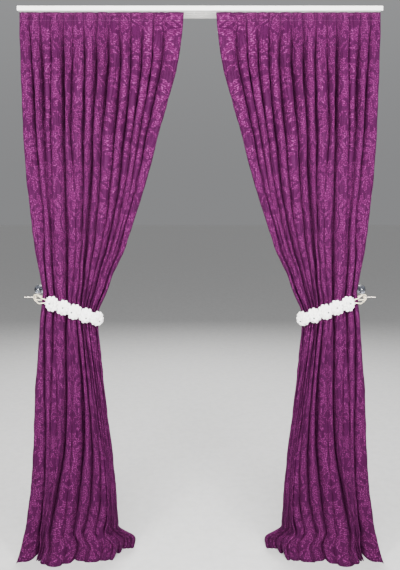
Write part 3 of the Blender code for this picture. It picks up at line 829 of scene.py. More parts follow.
@dataclass(frozen=True)
class DamaskFinish(Finish):
    """Jacquard cloth: smooth satin ground under a lighter motif of small blisters, with painted shade in the
    dips between them.

    The outline, rim, edge and border, and each span, are the two values between which a
    smooth step passes.
    """

    ground: Colour = colour(0.0305, 0.0022, 0.0230)
    # Painted shade: the darker colour given to the dips between the blisters
    painted_dip_shade: Colour = colour(0.0400, 0.0028, 0.0280)
    motif: Colour = colour(0.0690, 0.0058, 0.0480)
    thread: Colour = colour(0.1900, 0.0290, 0.1400)
    weave: DamaskWeave = field(default_factory=DamaskWeave)
    lobe: float = 0.012
    lobe_reach: float = 0.010
    lobe_swell: float = 0.86
    outline: Pair = (0.0010, 0.0026)
    rim: Pair = (0.004, 0.007)
    blister: float = 0.0060
    blister_stretch: Triple = (1.0, 1.25, 1.0)
    blister_edge: Pair = (0.02, 0.26)
    blister_floor: float = 0.5
    blister_height: float = 0.0016
    fleck: Grain = Grain((150, 220, 1), detail=1.0)
    fleck_at_rim: float = 0.05
    fleck_span: Pair = (0.54, 0.66)
    fleck_shares: Pair = (0.08, 0.90)
    streak: Grain = Grain((60, 420, 1))
    streak_span: Pair = (0.3, 0.7)
    streak_share: float = 0.12
    patch: Grain = Grain((14, 10, 1))
    patch_span: Pair = (0.2, 0.8)
    patch_shades: Pair = (0.90, 1.08)
    border: Pair = (0.014, 0.0196)
    gloss: Pair = (-0.10, 0.08)
    crease: Grain = Grain((1 / 0.016, 1 / 0.300, 1.0), rough=0.45)
    crease_share: float = 0.09
    crease_depth: float = 0.0045

    def creases(self, nodes: Nodes, pattern: Socket) -> Socket:
        """Narrow lines that run down the cloth, where a drawn-out noise passes a half.

        Args:
            nodes: Nodes of the finish.
            pattern: The cloth's pattern coordinates.

        Returns:
            The height, from 0 in a line to 1 beside it.
        """
        drawn = self.crease.field(nodes, pattern)
        away = nodes.math("ABSOLUTE", nodes.math("SUBTRACT", drawn, 0.5))
        return nodes.step(away, 0.0, self.crease_share)

    def dress(self, nodes: Nodes, shader: Node) -> None:
        """Colour, roughness and blistered relief of the cloth.

        Args:
            nodes: Nodes of the material.
            shader: Its shader.
        """
        pattern = nodes.pattern()
        lobes = nodes.cells(pattern, 1 / self.lobe, "F1")
        ripple = nodes.math("MULTIPLY", nodes.math("SUBTRACT", self.lobe_swell, lobes), self.lobe_reach)
        edge = nodes.math("ADD", ripple, self.weave.field(nodes, pattern))
        mask = nodes.step(edge, *self.outline)
        rim = nodes.math("SUBTRACT", mask, nodes.step(edge, *self.rim))
        tall = nodes.vector("MULTIPLY", pattern, self.blister_stretch)
        blister = nodes.step(nodes.cells(tall, 1 / self.blister, "DISTANCE_TO_EDGE"), *self.blister_edge)
        fleck = self.fleck.field(nodes, pattern)
        fleck = nodes.step(nodes.math("MULTIPLY_ADD", rim, self.fleck_at_rim, fleck), *self.fleck_span)
        streak = self.streak.field(nodes, pattern)
        patch = self.patch.field(nodes, pattern)
        streak = nodes.step(streak, *self.streak_span, 0.0, self.streak_share)
        ground = nodes.blend(streak, self.ground, self.motif)
        # Painted shade: the dips between the blisters, where the relief is lowest, take the darker colour
        figure = nodes.blend(blister, self.painted_dip_shade, self.motif)
        beyond_border = nodes.step(nodes.axes(pattern)[1], *self.border)
        tint = nodes.blend(nodes.math("MULTIPLY", mask, beyond_border), ground, figure)
        shine = nodes.math("MULTIPLY", fleck, nodes.step(mask, 0.0, 1.0, *self.fleck_shares))
        tint = nodes.blend(shine, tint, self.thread)
        shade = nodes.step(patch, *self.patch_span, *self.patch_shades)
        shade = nodes.add("ShaderNodeCombineXYZ", {0: shade, 1: shade, 2: shade}).outputs[0]
        nodes.feed(shader.inputs["Base Color"], nodes.vector("MULTIPLY", tint, shade))
        self.rough_step(nodes, shader, mask, (0.0, 1.0), self.gloss)
        raised = nodes.math("MULTIPLY", nodes.math("MULTIPLY_ADD", blister, 1.0, self.blister_floor), mask)
        raised = nodes.math("MULTIPLY", raised, self.blister_height / MM)
        relief = nodes.math("MULTIPLY_ADD", self.creases(nodes, pattern), self.crease_depth / MM, raised)
        nodes.feed(shader.inputs["Normal"], nodes.bump(relief, 1.0, MM))


@dataclass(frozen=True)
class WovenFinish(Finish):
    """Plain woven ribbon or tape: the weft, as a product of two sines, and soft patches."""

    rib: float = 0.0016
    weft_share: float = 0.6
    patch: Grain = Grain((40, 40, 40), detail=3.0)
    patch_share: float = 0.3
    shade: Triple = (0.72, 0.72, 0.72)
    relief_strength: float = 0.4
    relief_depth: float = 0.0003

    def dress(self, nodes: Nodes, shader: Node) -> None:
        """Ribs as bump, with darker lines between them.

        Args:
            nodes: Nodes of the material.
            shader: Its shader.
        """
        pattern = nodes.pattern()
        phases = (nodes.math("MULTIPLY", axis, TURN / self.rib) for axis in nodes.axes(pattern)[:2])
        weft = nodes.math("MULTIPLY", *(nodes.math("SINE", phase) for phase in phases))
        patch = nodes.math("MULTIPLY", self.patch.field(nodes, pattern), self.patch_share)
        amount = nodes.math("ADD", nodes.step(weft, -1.0, 1.0, 0.0, self.weft_share), patch)
        nodes.feed(shader.inputs["Base Color"], nodes.blend(amount, self.base, toned(self.base, self.shade)))
        nodes.feed(shader.inputs["Normal"], nodes.bump(weft, self.relief_strength, self.relief_depth))


@dataclass(frozen=True)
class GrainFinish(Finish):
    """Finish with one noise for its tone and one for its relief.

    Where the tone's noise passes through its span, the base colour goes over into a
    shade of it. Where gloss isn't 0, the roughness changes with one of the noises.
    """

    shade: Triple = (1.0, 1.0, 1.0)
    tone: Grain = Grain()
    tone_span: Pair = (0.3, 0.8)
    gloss: Pair = (0.0, 0.0)
    gloss_span: Pair = (0.3, 0.8)
    gloss_follows_relief: bool = False
    relief: Grain = Grain()
    relief_strength: float = 0.5
    relief_depth: float = 0.0004

    def dress(self, nodes: Nodes, shader: Node) -> None:
        """Tone, roughness and bump.

        Args:
            nodes: Nodes of the material.
            shader: Its shader.
        """
        tone = self.tone.field(nodes)
        relief = tone if self.relief == self.tone else self.relief.field(nodes)
        amount = nodes.step(tone, *self.tone_span)
        nodes.feed(shader.inputs["Base Color"], nodes.blend(amount, self.base, toned(self.base, self.shade)))
        if any(self.gloss):
            noise = relief if self.gloss_follows_relief else tone
            self.rough_step(nodes, shader, noise, self.gloss_span, self.gloss)
        nodes.feed(shader.inputs["Normal"], nodes.bump(relief, self.relief_strength, self.relief_depth))


@dataclass(frozen=True)
class CordFinish(GrainFinish):
    """Twisted cotton: fine fibres that run along the strands, darker between them."""

    shade: Triple = (0.78, 0.70, 0.56)
    tone: Grain = Grain((2600, 700, 700), rough=0.6)
    tone_span: Pair = (0.35, 0.75)
    relief: Grain = tone


@dataclass(frozen=True)
class MouldedFinish(GrainFinish):
    """Smooth plastic: clouds in colour and gloss, and fine grain in the relief."""

    shade: Triple = (0.93, 0.93, 0.93)
    tone: Grain = Grain(scale=26.0, detail=3.0, follows=False)
    tone_span: Pair = (0.3, 0.75)
    gloss: Pair = (-0.06, 0.08)
    gloss_span: Pair = (0.25, 0.8)
    relief: Grain = Grain(scale=900.0, follows=False)
    relief_strength: float = 0.15
    relief_depth: float = 0.0001


@dataclass(frozen=True)
class CrystalFinish(Finish):
    """Clear glass or polished stone, with the faintest unevenness of polish."""

    cloud: Grain = Grain(scale=120.0, detail=1.0, follows=False)
    cloud_span: Pair = (0.3, 0.8)
    haze: float = 0.03

    def dress(self, nodes: Nodes, shader: Node) -> None:
        """Roughness that varies by a hair."""
        self.rough_step(nodes, shader, self.cloud.field(nodes), self.cloud_span, (0.0, self.haze))


DAMASK = DamaskFinish(
    "damask_cloth", roughness=0.70, specular=0.035, sheen=0.06, sheen_roughness=0.6,
    sheen_tint=colour(0.60, 0.10, 0.48),
)
TAPE = WovenFinish("heading_tape_weave", base=colour(0.62, 0.60, 0.58), roughness=0.8)
RIBBON = WovenFinish("tie_ribbon", base=colour(0.86, 0.84, 0.80), roughness=0.6, rib=0.0012)
THREAD = CordFinish("stitching", base=colour(0.20, 0.05, 0.15), roughness=0.6)
CORD = CordFinish("twisted_cord", base=colour(0.95, 0.88, 0.68), roughness=0.7, sheen=0.15)
# Satin: creases that run out from the flower's middle, slightly warmer in the clouds
PETAL = GrainFinish(
    "satin_petals", base=colour(0.97, 0.965, 0.95), roughness=0.45, sheen=0.3,
    shade=(0.93, 0.91, 0.88), tone=Grain(scale=60.0, follows=False),
    relief=Grain((220, 900, 200), detail=3.0, rough=0.6), relief_depth=0.0006,
)
# Drawn rod: fine lines along it, with a slight tarnish
ROD = GrainFinish(
    "hook_metal", base=colour(0.66, 0.60, 0.52), roughness=0.28, metallic=1.0,
    shade=(0.82, 0.82, 0.82), tone=Grain(scale=90.0, follows=False), tone_span=(0.35, 0.8),
    gloss=(-0.07, 0.10), gloss_span=(0.3, 0.7), gloss_follows_relief=True,
    relief=Grain((4000, 60, 60)), relief_strength=0.2, relief_depth=0.0001,
)
CRYSTAL = CrystalFinish(
    "crystal", base=colour(0.12, 0.13, 0.16), roughness=0.01, transmission=1.0, index=1.55
)
STONE = CrystalFinish("grey_stone", base=colour(0.12, 0.125, 0.135), roughness=0.08, metallic=0.6)
DRAWN = (0.06, 1.0, 1.0)
EXTRUDED = MouldedFinish(
    "rail_plastic", base=colour(0.86, 0.85, 0.82), roughness=0.34,
    tone=Grain(DRAWN, 26.0, 3.0, follows=False), relief=Grain(DRAWN, 900.0, follows=False),
)
MOULDED = MouldedFinish("glider_plastic", base=colour(0.84, 0.84, 0.82), roughness=0.38)
FLOOR = MouldedFinish("pale_floor", base=colour(0.56, 0.555, 0.545), roughness=0.7)


# Pieces


@dataclass
class Assembly:
    """Base of the sub-assemblies, which are built on the left and mirrored to the right."""

    side: Side = Side.LEFT

    def named(self, name: str) -> str:
        """Name in which {} stands for the side."""
        return name.format(self.side.value)

    def piece(
        self, surface: Surface, name: str, finish: Finish, slot: str,
        node: str = "", sheet: float = 0.0, smooth: bool = True,
    ) -> Piece:
        """Object of a surface, dressed, riding on the part and standing for its node.

        Args:
            surface: The surface as it is on the left.
            name: Name of the piece.
            finish: Its finish.
            slot: The record's material slot; not used.
            node: Node that the piece stands for, if any.
            sheet: Thickness of a sheet, half to each side, or 0 for a closed body.
            smooth: Whether the faces are shaded smooth.

        Returns:
            The object.
        """
        piece = surface.make(self.named(name), self.side, closed=not sheet, smooth=smooth)
        if sheet:
            skin = piece.modifiers.new("thickness", "SOLIDIFY")
            skin.thickness = sheet
            skin.offset = 0.0
            skin.use_even_offset = False
        finish.put_on(piece)
        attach(piece, "root")
        if node:
            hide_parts(self.named(node))
        return piece


@dataclass(frozen=True)
class Ripple:
    """Layer of soft noise on the cloth, in cells that may slant across it."""

    across: float
    along: float
    depth: float
    seed: int
    slant: float = 0.0

    def height(self, flat: Array) -> Array:
        """Height of the layer at places on the flat cloth."""
        u, v = flat[..., 0], flat[..., 1]
        return soft_noise(u + self.slant * v, v, (self.across, self.along), self.seed) * self.depth


@dataclass
class Curtain(Assembly):
    """One gathered curtain: cloth, heading tape and the stitches through both.

    The names with off in them are distances from the tie, the heading or the hem: where
    the sway or the creases begin, and where they are full.
    """

    flat_width: float = 1.50
    flat_length: float = 2.68
    cloth: float = 0.0009
    rows: int = 264
    steps: int = 12
    widening: float = 1.08
    closed_width: float = 0.009
    crest_power: float = 0.36
    open_power: float = 0.50
    open_widening: float = 0.50
    least_width_mm: float = 8.0
    sway: float = 0.004
    sway_per_metre: float = 5.1
    sway_per_fold: float = 1.7
    sway_start: float = 0.6
    sway_off_tie: Pair = (0.05, 0.35)
    sway_off_heading: Pair = (0.1, 0.5)
    sway_off_hem: Pair = (0.0, 0.3)
    tie_z: float = -1.420
    waist_power: float = 2.5
    waist_edge: float = 0.97
    drawn: Ripple = Ripple(0.021, 0.34, 0.0030, 11)
    slanted: Ripple = Ripple(0.050, 0.16, 0.0022, 12, slant=0.35)
    dents: tuple[Ripple, Ripple] = (Ripple(0.034, 0.046, 0.0013, 13), Ripple(0.019, 0.024, 0.0007, 14))
    pressed: Ripple = Ripple(0.013, 0.20, 0.0012, 15)
    strain: float = 0.9
    strain_reach: float = 0.30
    crease_off_heading: Pair = (0.075, 0.16)
    crease_off_tie: Pair = (0.02, 0.10)
    crease_off_hem: Pair = (0.0, 0.06)
    heading_y: float = -0.044
    tape_top: float = -0.026
    tape_bottom: float = -0.073
    tape_inset: float = 0.004
    tape_gap: float = 0.0018
    tape_thickness: float = 0.0010
    tape_grid: tuple[int, int] = (18, 260)
    stitch_rows: Pair = (-0.0300, -0.0590)
    stitch_length: float = 0.0034
    stitch_pitch: float = 0.0062
    stitch_radius: float = 0.00045
    stitch_profile: tuple[Pair, ...] = ((-1.0, 0.0), (-0.8, 1.0), (0.8, 1.0), (1.0, 0.0))
    stitch_sides: int = 6
    stitch_inset: float = 0.006
    stitch_proud: float = 0.0014

    def waist_curve(self, share: Array) -> Array:
        """Share of a bundle's half depth: a superellipse over the width's share."""
        reach = self.waist_edge * np.abs(2 * share - 1)
        return (1 - reach**self.waist_power) ** (1 / self.waist_power)

    def folded(self, height: Array) -> Array:
        """Middle surface of the folded cloth.

        Every fold runs from one valley to the next over its crest. Along it, Y follows
        a power of a cosine wave between the depths of the valleys and of the crest. X
        is widened at the crest and narrowed in the valleys by a sine of the same wave,
        and the more so, the wider the fold is. In an open valley the power is higher
        and X is narrowed less. The folds sway sideways by a sine of the height, but
        not near the tie, the heading and the hem.

        Args:
            height: Height of each row at the middle of the curtain.

        Returns:
            Rows by columns by XYZ.
        """
        table = np.array(ROWS)
        drop, front, bow = eased(height, table[:, 0], table[:, 1:]).T[..., None]
        widths = np.maximum(eased(height, WIDTH_HEIGHTS, np.transpose(FOLD_WIDTHS)), self.least_width_mm)
        depths = eased(height, DEPTH_HEIGHTS, np.transpose(VALLEY_DEPTHS)) * MM
        setbacks = eased(height, CREST_HEIGHTS, np.transpose(CREST_SETBACKS)) * MM
        openings = np.clip(eased(height, OPEN_HEIGHTS, np.transpose(VALLEY_OPENINGS)), 0, 1)
        bounds = np.pad(np.cumsum(widths, axis=1), ((0, 0), (1, 0)))
        bounds = bounds / bounds[:, -1:]

        column = np.arange(len(FOLD_WIDTHS) * self.steps + 1)
        fold = np.minimum(column // self.steps, len(FOLD_WIDTHS) - 1)
        t = column / self.steps - fold
        valley = fold + (t >= 0.5)
        opening, depth = openings[:, valley], depths[:, valley]
        wave = ((1 - np.cos(TURN * t)) / 2) ** (self.crest_power + self.open_power * opening)
        depth = depth + (setbacks[:, fold] - depth) * wave

        level = height[:, None]
        span = Edge.INNER.x(level) - Edge.OUTER.x(level)
        reach = bounds[:, fold + 1] - bounds[:, fold]
        widening = self.widening * np.maximum(1 - self.closed_width / (reach * span), 0)
        widening = widening * (1 - self.open_widening * opening)
        share = bounds[:, fold] + reach * (t - widening * np.sin(TURN * t) / TURN)

        free = grown(np.abs(level - self.tie_z), *self.sway_off_tie)
        free = free * grown(-level, *self.sway_off_heading) * grown(level - HEM_Z, *self.sway_off_hem)
        swing = np.sin(self.sway_per_metre * level + self.sway_per_fold * fold + self.sway_start)
        x_outer, x_inner = Edge.OUTER.x(level + drop / 2), Edge.INNER.x(level - drop / 2)
        x = x_outer + (x_inner - x_outer) * share + self.sway * free * swing * np.sin(math.pi * share)
        y = front + bow * (1 - self.waist_curve(share)) + depth
        return stacked(x, y, level + drop / 2 - drop * share)

    def flat_places(self, points: Array) -> Array:
        """Where each point lies on the flat cloth: across it, and up from its hem.

        Across is the mean distance along the rows, scaled to the cloth's width. Up is
        the distance along each column.

        Args:
            points: Rows by columns by XYZ.

        Returns:
            Rows by columns by the two distances.
        """
        across = np.linalg.norm(np.diff(points, axis=1), axis=2).mean(axis=0)
        across = np.concatenate([[0.0], np.cumsum(across)])
        down = np.linalg.norm(np.diff(points, axis=0), axis=2)
        down = np.pad(np.cumsum(down, axis=0), ((1, 0), (0, 0)))
        return stacked(across / across[-1] * self.flat_width, down[-1] - down)

    def creased(self, points: Array, flat: Array, height: Array) -> Array:
        """Points moved along the surface's normal by long creases and small dents.

        The creases are noise drawn out along the folds. They grow towards the tie and
        end at it. The dents are noise of even cells. Both fade out in the heading,
        where pressed pleats move the points forwards instead.

        Args:
            points: Rows by columns by XYZ.
            flat: Their places on the flat cloth.
            height: Height of each row.

        Returns:
            The moved points.
        """
        normal = unit(np.cross(np.gradient(points, axis=0), np.gradient(points, axis=1)))
        level = height[:, None]
        away = np.abs(level - self.tie_z)
        below_heading = ramp(-level, *self.crease_off_heading)
        strained = 1 + self.strain * np.exp(-((away / self.strain_reach) ** 2))
        raised = self.drawn.height(flat) * strained + self.slanted.height(flat)
        raised = raised + sum(dent.height(flat) for dent in self.dents)
        raised = raised * below_heading * ramp(away, *self.crease_off_tie)
        raised = raised * ramp(level - HEM_Z, *self.crease_off_hem)
        moved = points + normal * raised[..., None]
        moved[..., 1] -= np.abs(self.pressed.height(flat)) * (1 - below_heading)
        return moved

    def make_cloth(self) -> None:
        """The curtain's cloth, hem included."""
        height = np.linspace(HEADING_TOP_Z, HEM_Z, self.rows)
        points = self.folded(height)
        flat = self.flat_places(points)
        surface = Surface.from_grid(self.creased(points, flat, height), flat)
        piece = self.piece(surface, "damask_{}", DAMASK, "damask", "curtain_{}", sheet=self.cloth)
        self.named("heading_tape_{}")

    def make_tape(self) -> None:
        """Flat strip of tape behind the heading."""
        rows, columns = self.tape_grid
        outer, inner = (float(edge.x(HEADING_TOP_Z)) for edge in Edge)
        x = np.linspace(outer + self.tape_inset, inner - self.tape_inset, columns)
        z = np.linspace(self.tape_top, self.tape_bottom, rows)[:, None]
        points = stacked(x, self.heading_y + self.tape_gap, z)
        surface = Surface.from_grid(points, points[..., ::2])
        piece = self.piece(surface, "tape_{}", TAPE, "tape", "heading_tape_{}", sheet=self.tape_thickness)

    def make_stitches(self) -> None:
        """Rows of short stitches on the heading's front, each a round bar with blunt points."""
        angle = angles(self.stitch_sides)
        along, thick = np.array(self.stitch_profile).T[..., None]
        thick = thick * self.stitch_radius
        local = stacked(along * self.stitch_length / 2, np.cos(angle) * thick, np.sin(angle) * thick)
        stitches = []
        for row, z in zip(self.folded(np.array(self.stitch_rows)), self.stitch_rows):
            x = np.arange(row[0, 0] + self.stitch_inset, row[-1, 0] - self.stitch_inset, self.stitch_pitch)
            y = np.interp(x, row[:, 0], row[:, 1]) - self.stitch_proud
            stitches += [Surface.from_grid(local + spot, ring_columns=True) for spot in stacked(x, y, z)]
        self.piece(Surface.joined(stitches), "stitches_{}", THREAD, "tape")

    def build(self) -> None:
        """Make the curtain's pieces."""
        self.make_cloth()
        self.make_tape()
        self.make_stitches()


@dataclass(frozen=True)
class Tier:
    """Petals of one tier: their count, reach and width as shares, lift in metres, and tilt."""

    count: int
    reach: float
    width: float
    lift: float
    tilt: float


@dataclass(frozen=True)
class Flower:
    """Fabric flower round a cut stone, in its own axes, of which the third points outwards.

    The changes are the most that chance makes of a petal's reach, tilt and turn.
    """

    radius: float = 0.0375
    tiers: tuple[Tier, ...] = (
        Tier(11, 1.00, 0.30, 0.0026, 0.02), Tier(9, 0.76, 0.34, 0.0062, 0.16),
        Tier(7, 0.52, 0.36, 0.0096, 0.34), Tier(5, 0.28, 0.40, 0.0118, 0.60),
    )
    petal_grid: tuple[int, int] = (7, 22)
    neck: float = 0.35
    neck_reach: float = 0.75
    cup: float = 0.0030
    cup_width: float = 0.3
    droop: float = 0.0022
    wave: float = 0.0011
    waves: int = 3
    half_thickness: float = 0.0005
    reach_change: float = 0.06
    tilt_change: float = 0.10
    turn_change: float = 0.12
    stone_radius: float = 0.0042
    stone_lift: float = 0.0128
    stone_profile: tuple[Pair, ...] = ((0.0, 0.0), (1.0, 0.0), (1.0, 0.35), (0.60, 0.85), (0.0, 0.85))
    stone_sides: int = 8

    def petal(self, turn: float, tier: Tier, sway: Array) -> Array:
        """Points of one petal.

        The petal is a thin ellipsoid of latitude and longitude with one end at the
        flower's middle. It is narrowed towards that end, its outer part is cupped by
        the square of the distance, and its rim waves with a sine of the longitude.

        Args:
            turn: Direction of the petal about the flower's axis.
            tier: Its tier.
            sway: Small random changes of reach, tilt and phase.

        Returns:
            Latitudes by longitudes by XYZ.
        """
        latitude, longitude = globe(*self.petal_grid)
        round_out = np.cos(latitude)
        reach = self.radius * tier.reach
        half = reach * (1 + self.reach_change * sway[0]) / 2
        along = half * (1 + round_out * np.cos(longitude))
        share = along / (2 * half)
        across = reach * tier.width * round_out * np.sin(longitude)
        across = across * (self.neck + (1 - self.neck) * ramp(share, 0.0, self.neck_reach))
        away = tier.lift + (tier.tilt + self.tilt_change * sway[1]) * along - self.droop * share**3
        away = away + self.cup * tier.reach * (across / (self.radius * self.cup_width)) ** 2
        away = away + self.wave * (round_out * share) ** 2 * np.sin(self.waves * (longitude + sway[2]))
        away = away + self.half_thickness * np.sin(latitude)
        x = along * math.cos(turn) - across * math.sin(turn)
        y = along * math.sin(turn) + across * math.cos(turn)
        return stacked(x, y, away)

    def petals(self, seed: int, heart: Array) -> Surface:
        """All the petals, the upper tiers nearer the heart.

        Args:
            seed: Seed of their random changes.
            heart: X and Y of the flower's heart.

        Returns:
            The petals as one surface.
        """
        random = np.random.default_rng(seed)
        parts = []
        for level, tier in enumerate(self.tiers):
            start = random.uniform(0, TURN)
            shift = np.append(heart * level / (len(self.tiers) - 1), 0.0)
            for number in range(tier.count):
                sway = random.uniform(-1, 1, 3)
                turn = start + TURN * (number + self.turn_change * sway[0]) / tier.count
                points = self.petal(turn, tier, sway)
                parts.append(Surface.from_grid(points + shift, points[..., :2], ring_columns=True))
        return Surface.joined(parts)

    def stone(self, heart: Array) -> Surface:
        """Cut stone at the heart: rings of eight corners up to a flat table."""
        profile = np.array(self.stone_profile) * self.stone_radius
        return lathe(profile, (0.0, 0.0, 0.0), self.stone_sides).moved(np.append(heart, self.stone_lift))


@dataclass
class Tieback(Assembly):
    """Band of five fabric flowers round the waist, with a cord loop at each end.

    The seats are how far the flowers stand off the band's solid, in turn.
    """

    curtain: Curtain = field(kw_only=True)
    flower: Flower = Flower()
    height: float = 0.036
    thickness: float = 0.0012
    solid_thickness: float = 0.002
    cloth: float = 0.0015
    clearance: float = 0.0007
    ring_points: int = 1440
    band_grid: tuple[int, int] = (9, 220)
    start_x: float = -0.720
    end_x: float = -0.735
    first_x: float = -0.691
    pitch: float = 0.0552
    hearts: tuple[Pair, ...] = (
        (-0.0090, -0.0020), (0.0000, 0.0010), (-0.0100, -0.0050), (0.0050, -0.0100), (0.0090, -0.0110),
    )
    seats: Pair = (0.0024, 0.0004)
    first_seed: int = 40
    tangent_half: float = 0.002
    cord_radius: float = 0.0030
    cord_pitch: float = 0.012
    cord_sides: int = 18
    cord_points: int = 420
    cord_hollow: float = 0.26
    strands: int = 3

    def ring(self) -> Array:
        """Middle line of the band: a superellipse in a plane that slopes with the row.

        The angle runs from the outer end over the front to the inner end and along the
        back. X and Y are powers of its cosine and sine, and Z falls in line with X.

        Returns:
            The points of the ring.
        """
        curtain = self.curtain
        _, drop, front, bow = next(row for row in ROWS if row[0] <= curtain.tie_z)
        x_outer = float(Edge.OUTER.x(curtain.tie_z + drop / 2))
        x_inner = float(Edge.INNER.x(curtain.tie_z - drop / 2))
        clear = self.cloth / 2 + self.clearance + self.solid_thickness / 2
        half_x = (x_inner - x_outer) / 2 / curtain.waist_edge + clear
        angle = np.linspace(0, TURN, self.ring_points, endpoint=False)
        power = 2 / curtain.waist_power
        swings = ((half_x, np.cos(angle)), (bow + clear, np.sin(angle)))
        aside, forth = (half * np.sign(wave) * np.abs(wave) ** power for half, wave in swings)
        x = (x_outer + x_inner) / 2 - aside
        share = (x - x_outer) / (x_inner - x_outer)
        return stacked(x, front + bow - forth, curtain.tie_z - drop * (share - 0.5))

    def band_line(self) -> Array:
        """The part of the ring that the band follows.

        Returns:
            Its points, from the band's front end to its back end.
        """
        ring = self.ring()
        half = len(ring) // 2
        first = int(np.argmax(ring[:half, 0] >= self.start_x))
        last = half + int(np.flatnonzero(ring[half:, 0] >= self.end_x)[-1])
        return ring[first : last + 1]

    def make_band(self) -> None:
        """Upright ribbon that carries the flowers."""
        rows, columns = self.band_grid
        line = self.band_line()
        total = float(lengths_along(line)[-1])
        along = np.linspace(0, total, columns)
        rise = np.linspace(0.5, -0.5, rows)[:, None] * self.height
        points = read_line(line, along) + rise[..., None] * Z_AXIS
        surface = Surface.from_grid(points, stacked(along, rise))
        piece = self.piece(surface, "ribbon_{}", RIBBON, "band", "tie_band_{}", sheet=self.thickness)
        self.named("damask_{}")

    def make_flowers(self) -> None:
        """Row of flowers on the band's outer face, each square to the band there."""
        line = self.band_line()
        along = lengths_along(line)
        front = len(line) // 2
        first = float(np.interp(self.first_x, line[:front, 0], along[:front]))
        for number, heart in enumerate(np.array(self.hearts)):
            places = first + number * self.pitch + np.array((-1, 0, 1)) * self.tangent_half
            behind, centre, ahead = read_line(line, places)
            tangent = unit(ahead - behind)
            outward = unit(np.cross(tangent, Z_AXIS))
            axes = np.stack([tangent, np.cross(outward, tangent), outward])
            centre = centre + outward * (self.solid_thickness / 2 + self.seats[number % 2])
            petals = self.flower.petals(self.first_seed + number, heart).moved(centre, axes)
            stone = self.flower.stone(heart).moved(centre, axes)
            mark = f"_{{}}_{number + 1}"
            self.piece(petals, "petals" + mark, PETAL, "flower", "flower" + mark)
            self.piece(stone, "stone" + mark, STONE, "ball", smooth=False)

    def make_loop(self, end: str, route: tuple) -> None:
        """Closed loop of twisted cord.

        The radius bulges over each strand with the absolute sine of half the strands
        times the angle, which turns once for each pitch along the cord.

        Args:
            end: End of the band that the loop hangs from.
            route: Points that the cord passes.
        """
        line = smooth_route(route, self.cord_points, ring=True)
        total = float(lengths_along(np.concatenate([line, line[:1]]))[-1])
        turns = self.strands * round(total / self.cord_pitch / self.strands)
        twist = np.arange(len(line))[:, None] * TURN * turns / len(line)
        bulge = np.abs(np.sin(self.strands / 2 * angles(self.cord_sides) - twist))
        radius = self.cord_radius * (1 - self.cord_hollow + self.cord_hollow * bulge)
        flat = np.linalg.svd(line - line.mean(axis=0), full_matrices=False)[2][2]
        surface = tube(line, radius, flat, self.cord_sides, ring=True)
        self.piece(surface, f"loop_{end}_{{}}", CORD, "cord", f"tie_loop_{end}_{{}}")

    def build(self) -> None:
        """Make the tieback's pieces."""
        self.make_band()
        self.make_flowers()
        self.make_loop("front", FRONT_LOOP)
        self.make_loop("back", BACK_LOOP)


@dataclass
class Hook(Assembly):
    """Rod that turns up once, with a metal cup and a cut crystal ball on its end."""

    start_x: float = -0.857
    post_x: float = -0.788
    y: float = 0.058
    z: float = -1.3831
    radius: float = 0.0025
    sides: int = 16
    bend: float = 0.014
    bend_points: int = 14
    end_step: float = 0.0002
    cup_profile: tuple[Pair, ...] = (
        (0.0, -0.0052), (0.0036, -0.0052), (0.0042, -0.0044), (0.0036, -0.0032), (0.0038, -0.0014),
        (0.0064, 0.0006), (0.0078, 0.0018), (0.0070, 0.0018), (0.0, 0.0004),
    )
    cup_gap: float = 0.0001
    cup_sides: int = 28
    ball_radius: float = 0.0220
    ball_z: float = -1.3443
    facets: int = 18
    rings: int = 12

    def make_rod(self) -> None:
        """Rod: straight, a quarter of a circle upwards, and straight to the ball."""
        angle = np.linspace(0, math.pi / 2, self.bend_points)
        top = self.ball_z - self.ball_radius
        x = self.post_x - self.bend + self.bend * np.sin(angle)
        z = self.z + self.bend - self.bend * np.cos(angle)
        x = np.concatenate([[self.start_x, self.start_x + self.end_step], x, [self.post_x] * 2])
        z = np.concatenate([[self.z] * 2, z, [top - self.end_step, top]])
        surface = tube(stacked(x, self.y, z), self.radius, Y_AXIS, self.sides)
        self.piece(surface, "rod_{}", ROD, "hook", "hook_{}")

    def make_cup(self) -> None:
        """Small turned cup that holds the ball."""
        centre = (self.post_x, self.y, self.ball_z - self.ball_radius - self.cup_gap)
        self.piece(lathe(self.cup_profile, centre, self.cup_sides), "cup_{}", ROD, "hook")

    def make_ball(self) -> None:
        """Cut ball: a sphere of flat facets, every other ring turned by half a facet."""
        latitude, longitude = globe(self.rings + 1, self.facets)
        longitude = longitude + (np.arange(self.rings + 1) % 2)[:, None] * math.pi / self.facets
        wide = np.cos(latitude)
        points = stacked(wide * np.cos(longitude), wide * np.sin(longitude), np.sin(latitude))
        points = points * self.ball_radius + (self.post_x, self.y, self.ball_z)
        surface = Surface.from_grid(points, ring_columns=True)
        self.piece(surface, "crystal_{}", CRYSTAL, "ball", "ball_{}", smooth=False)

    def build(self) -> None:
        """Make the hook's pieces."""
        self.make_rod()
        self.make_cup()
        self.make_ball()


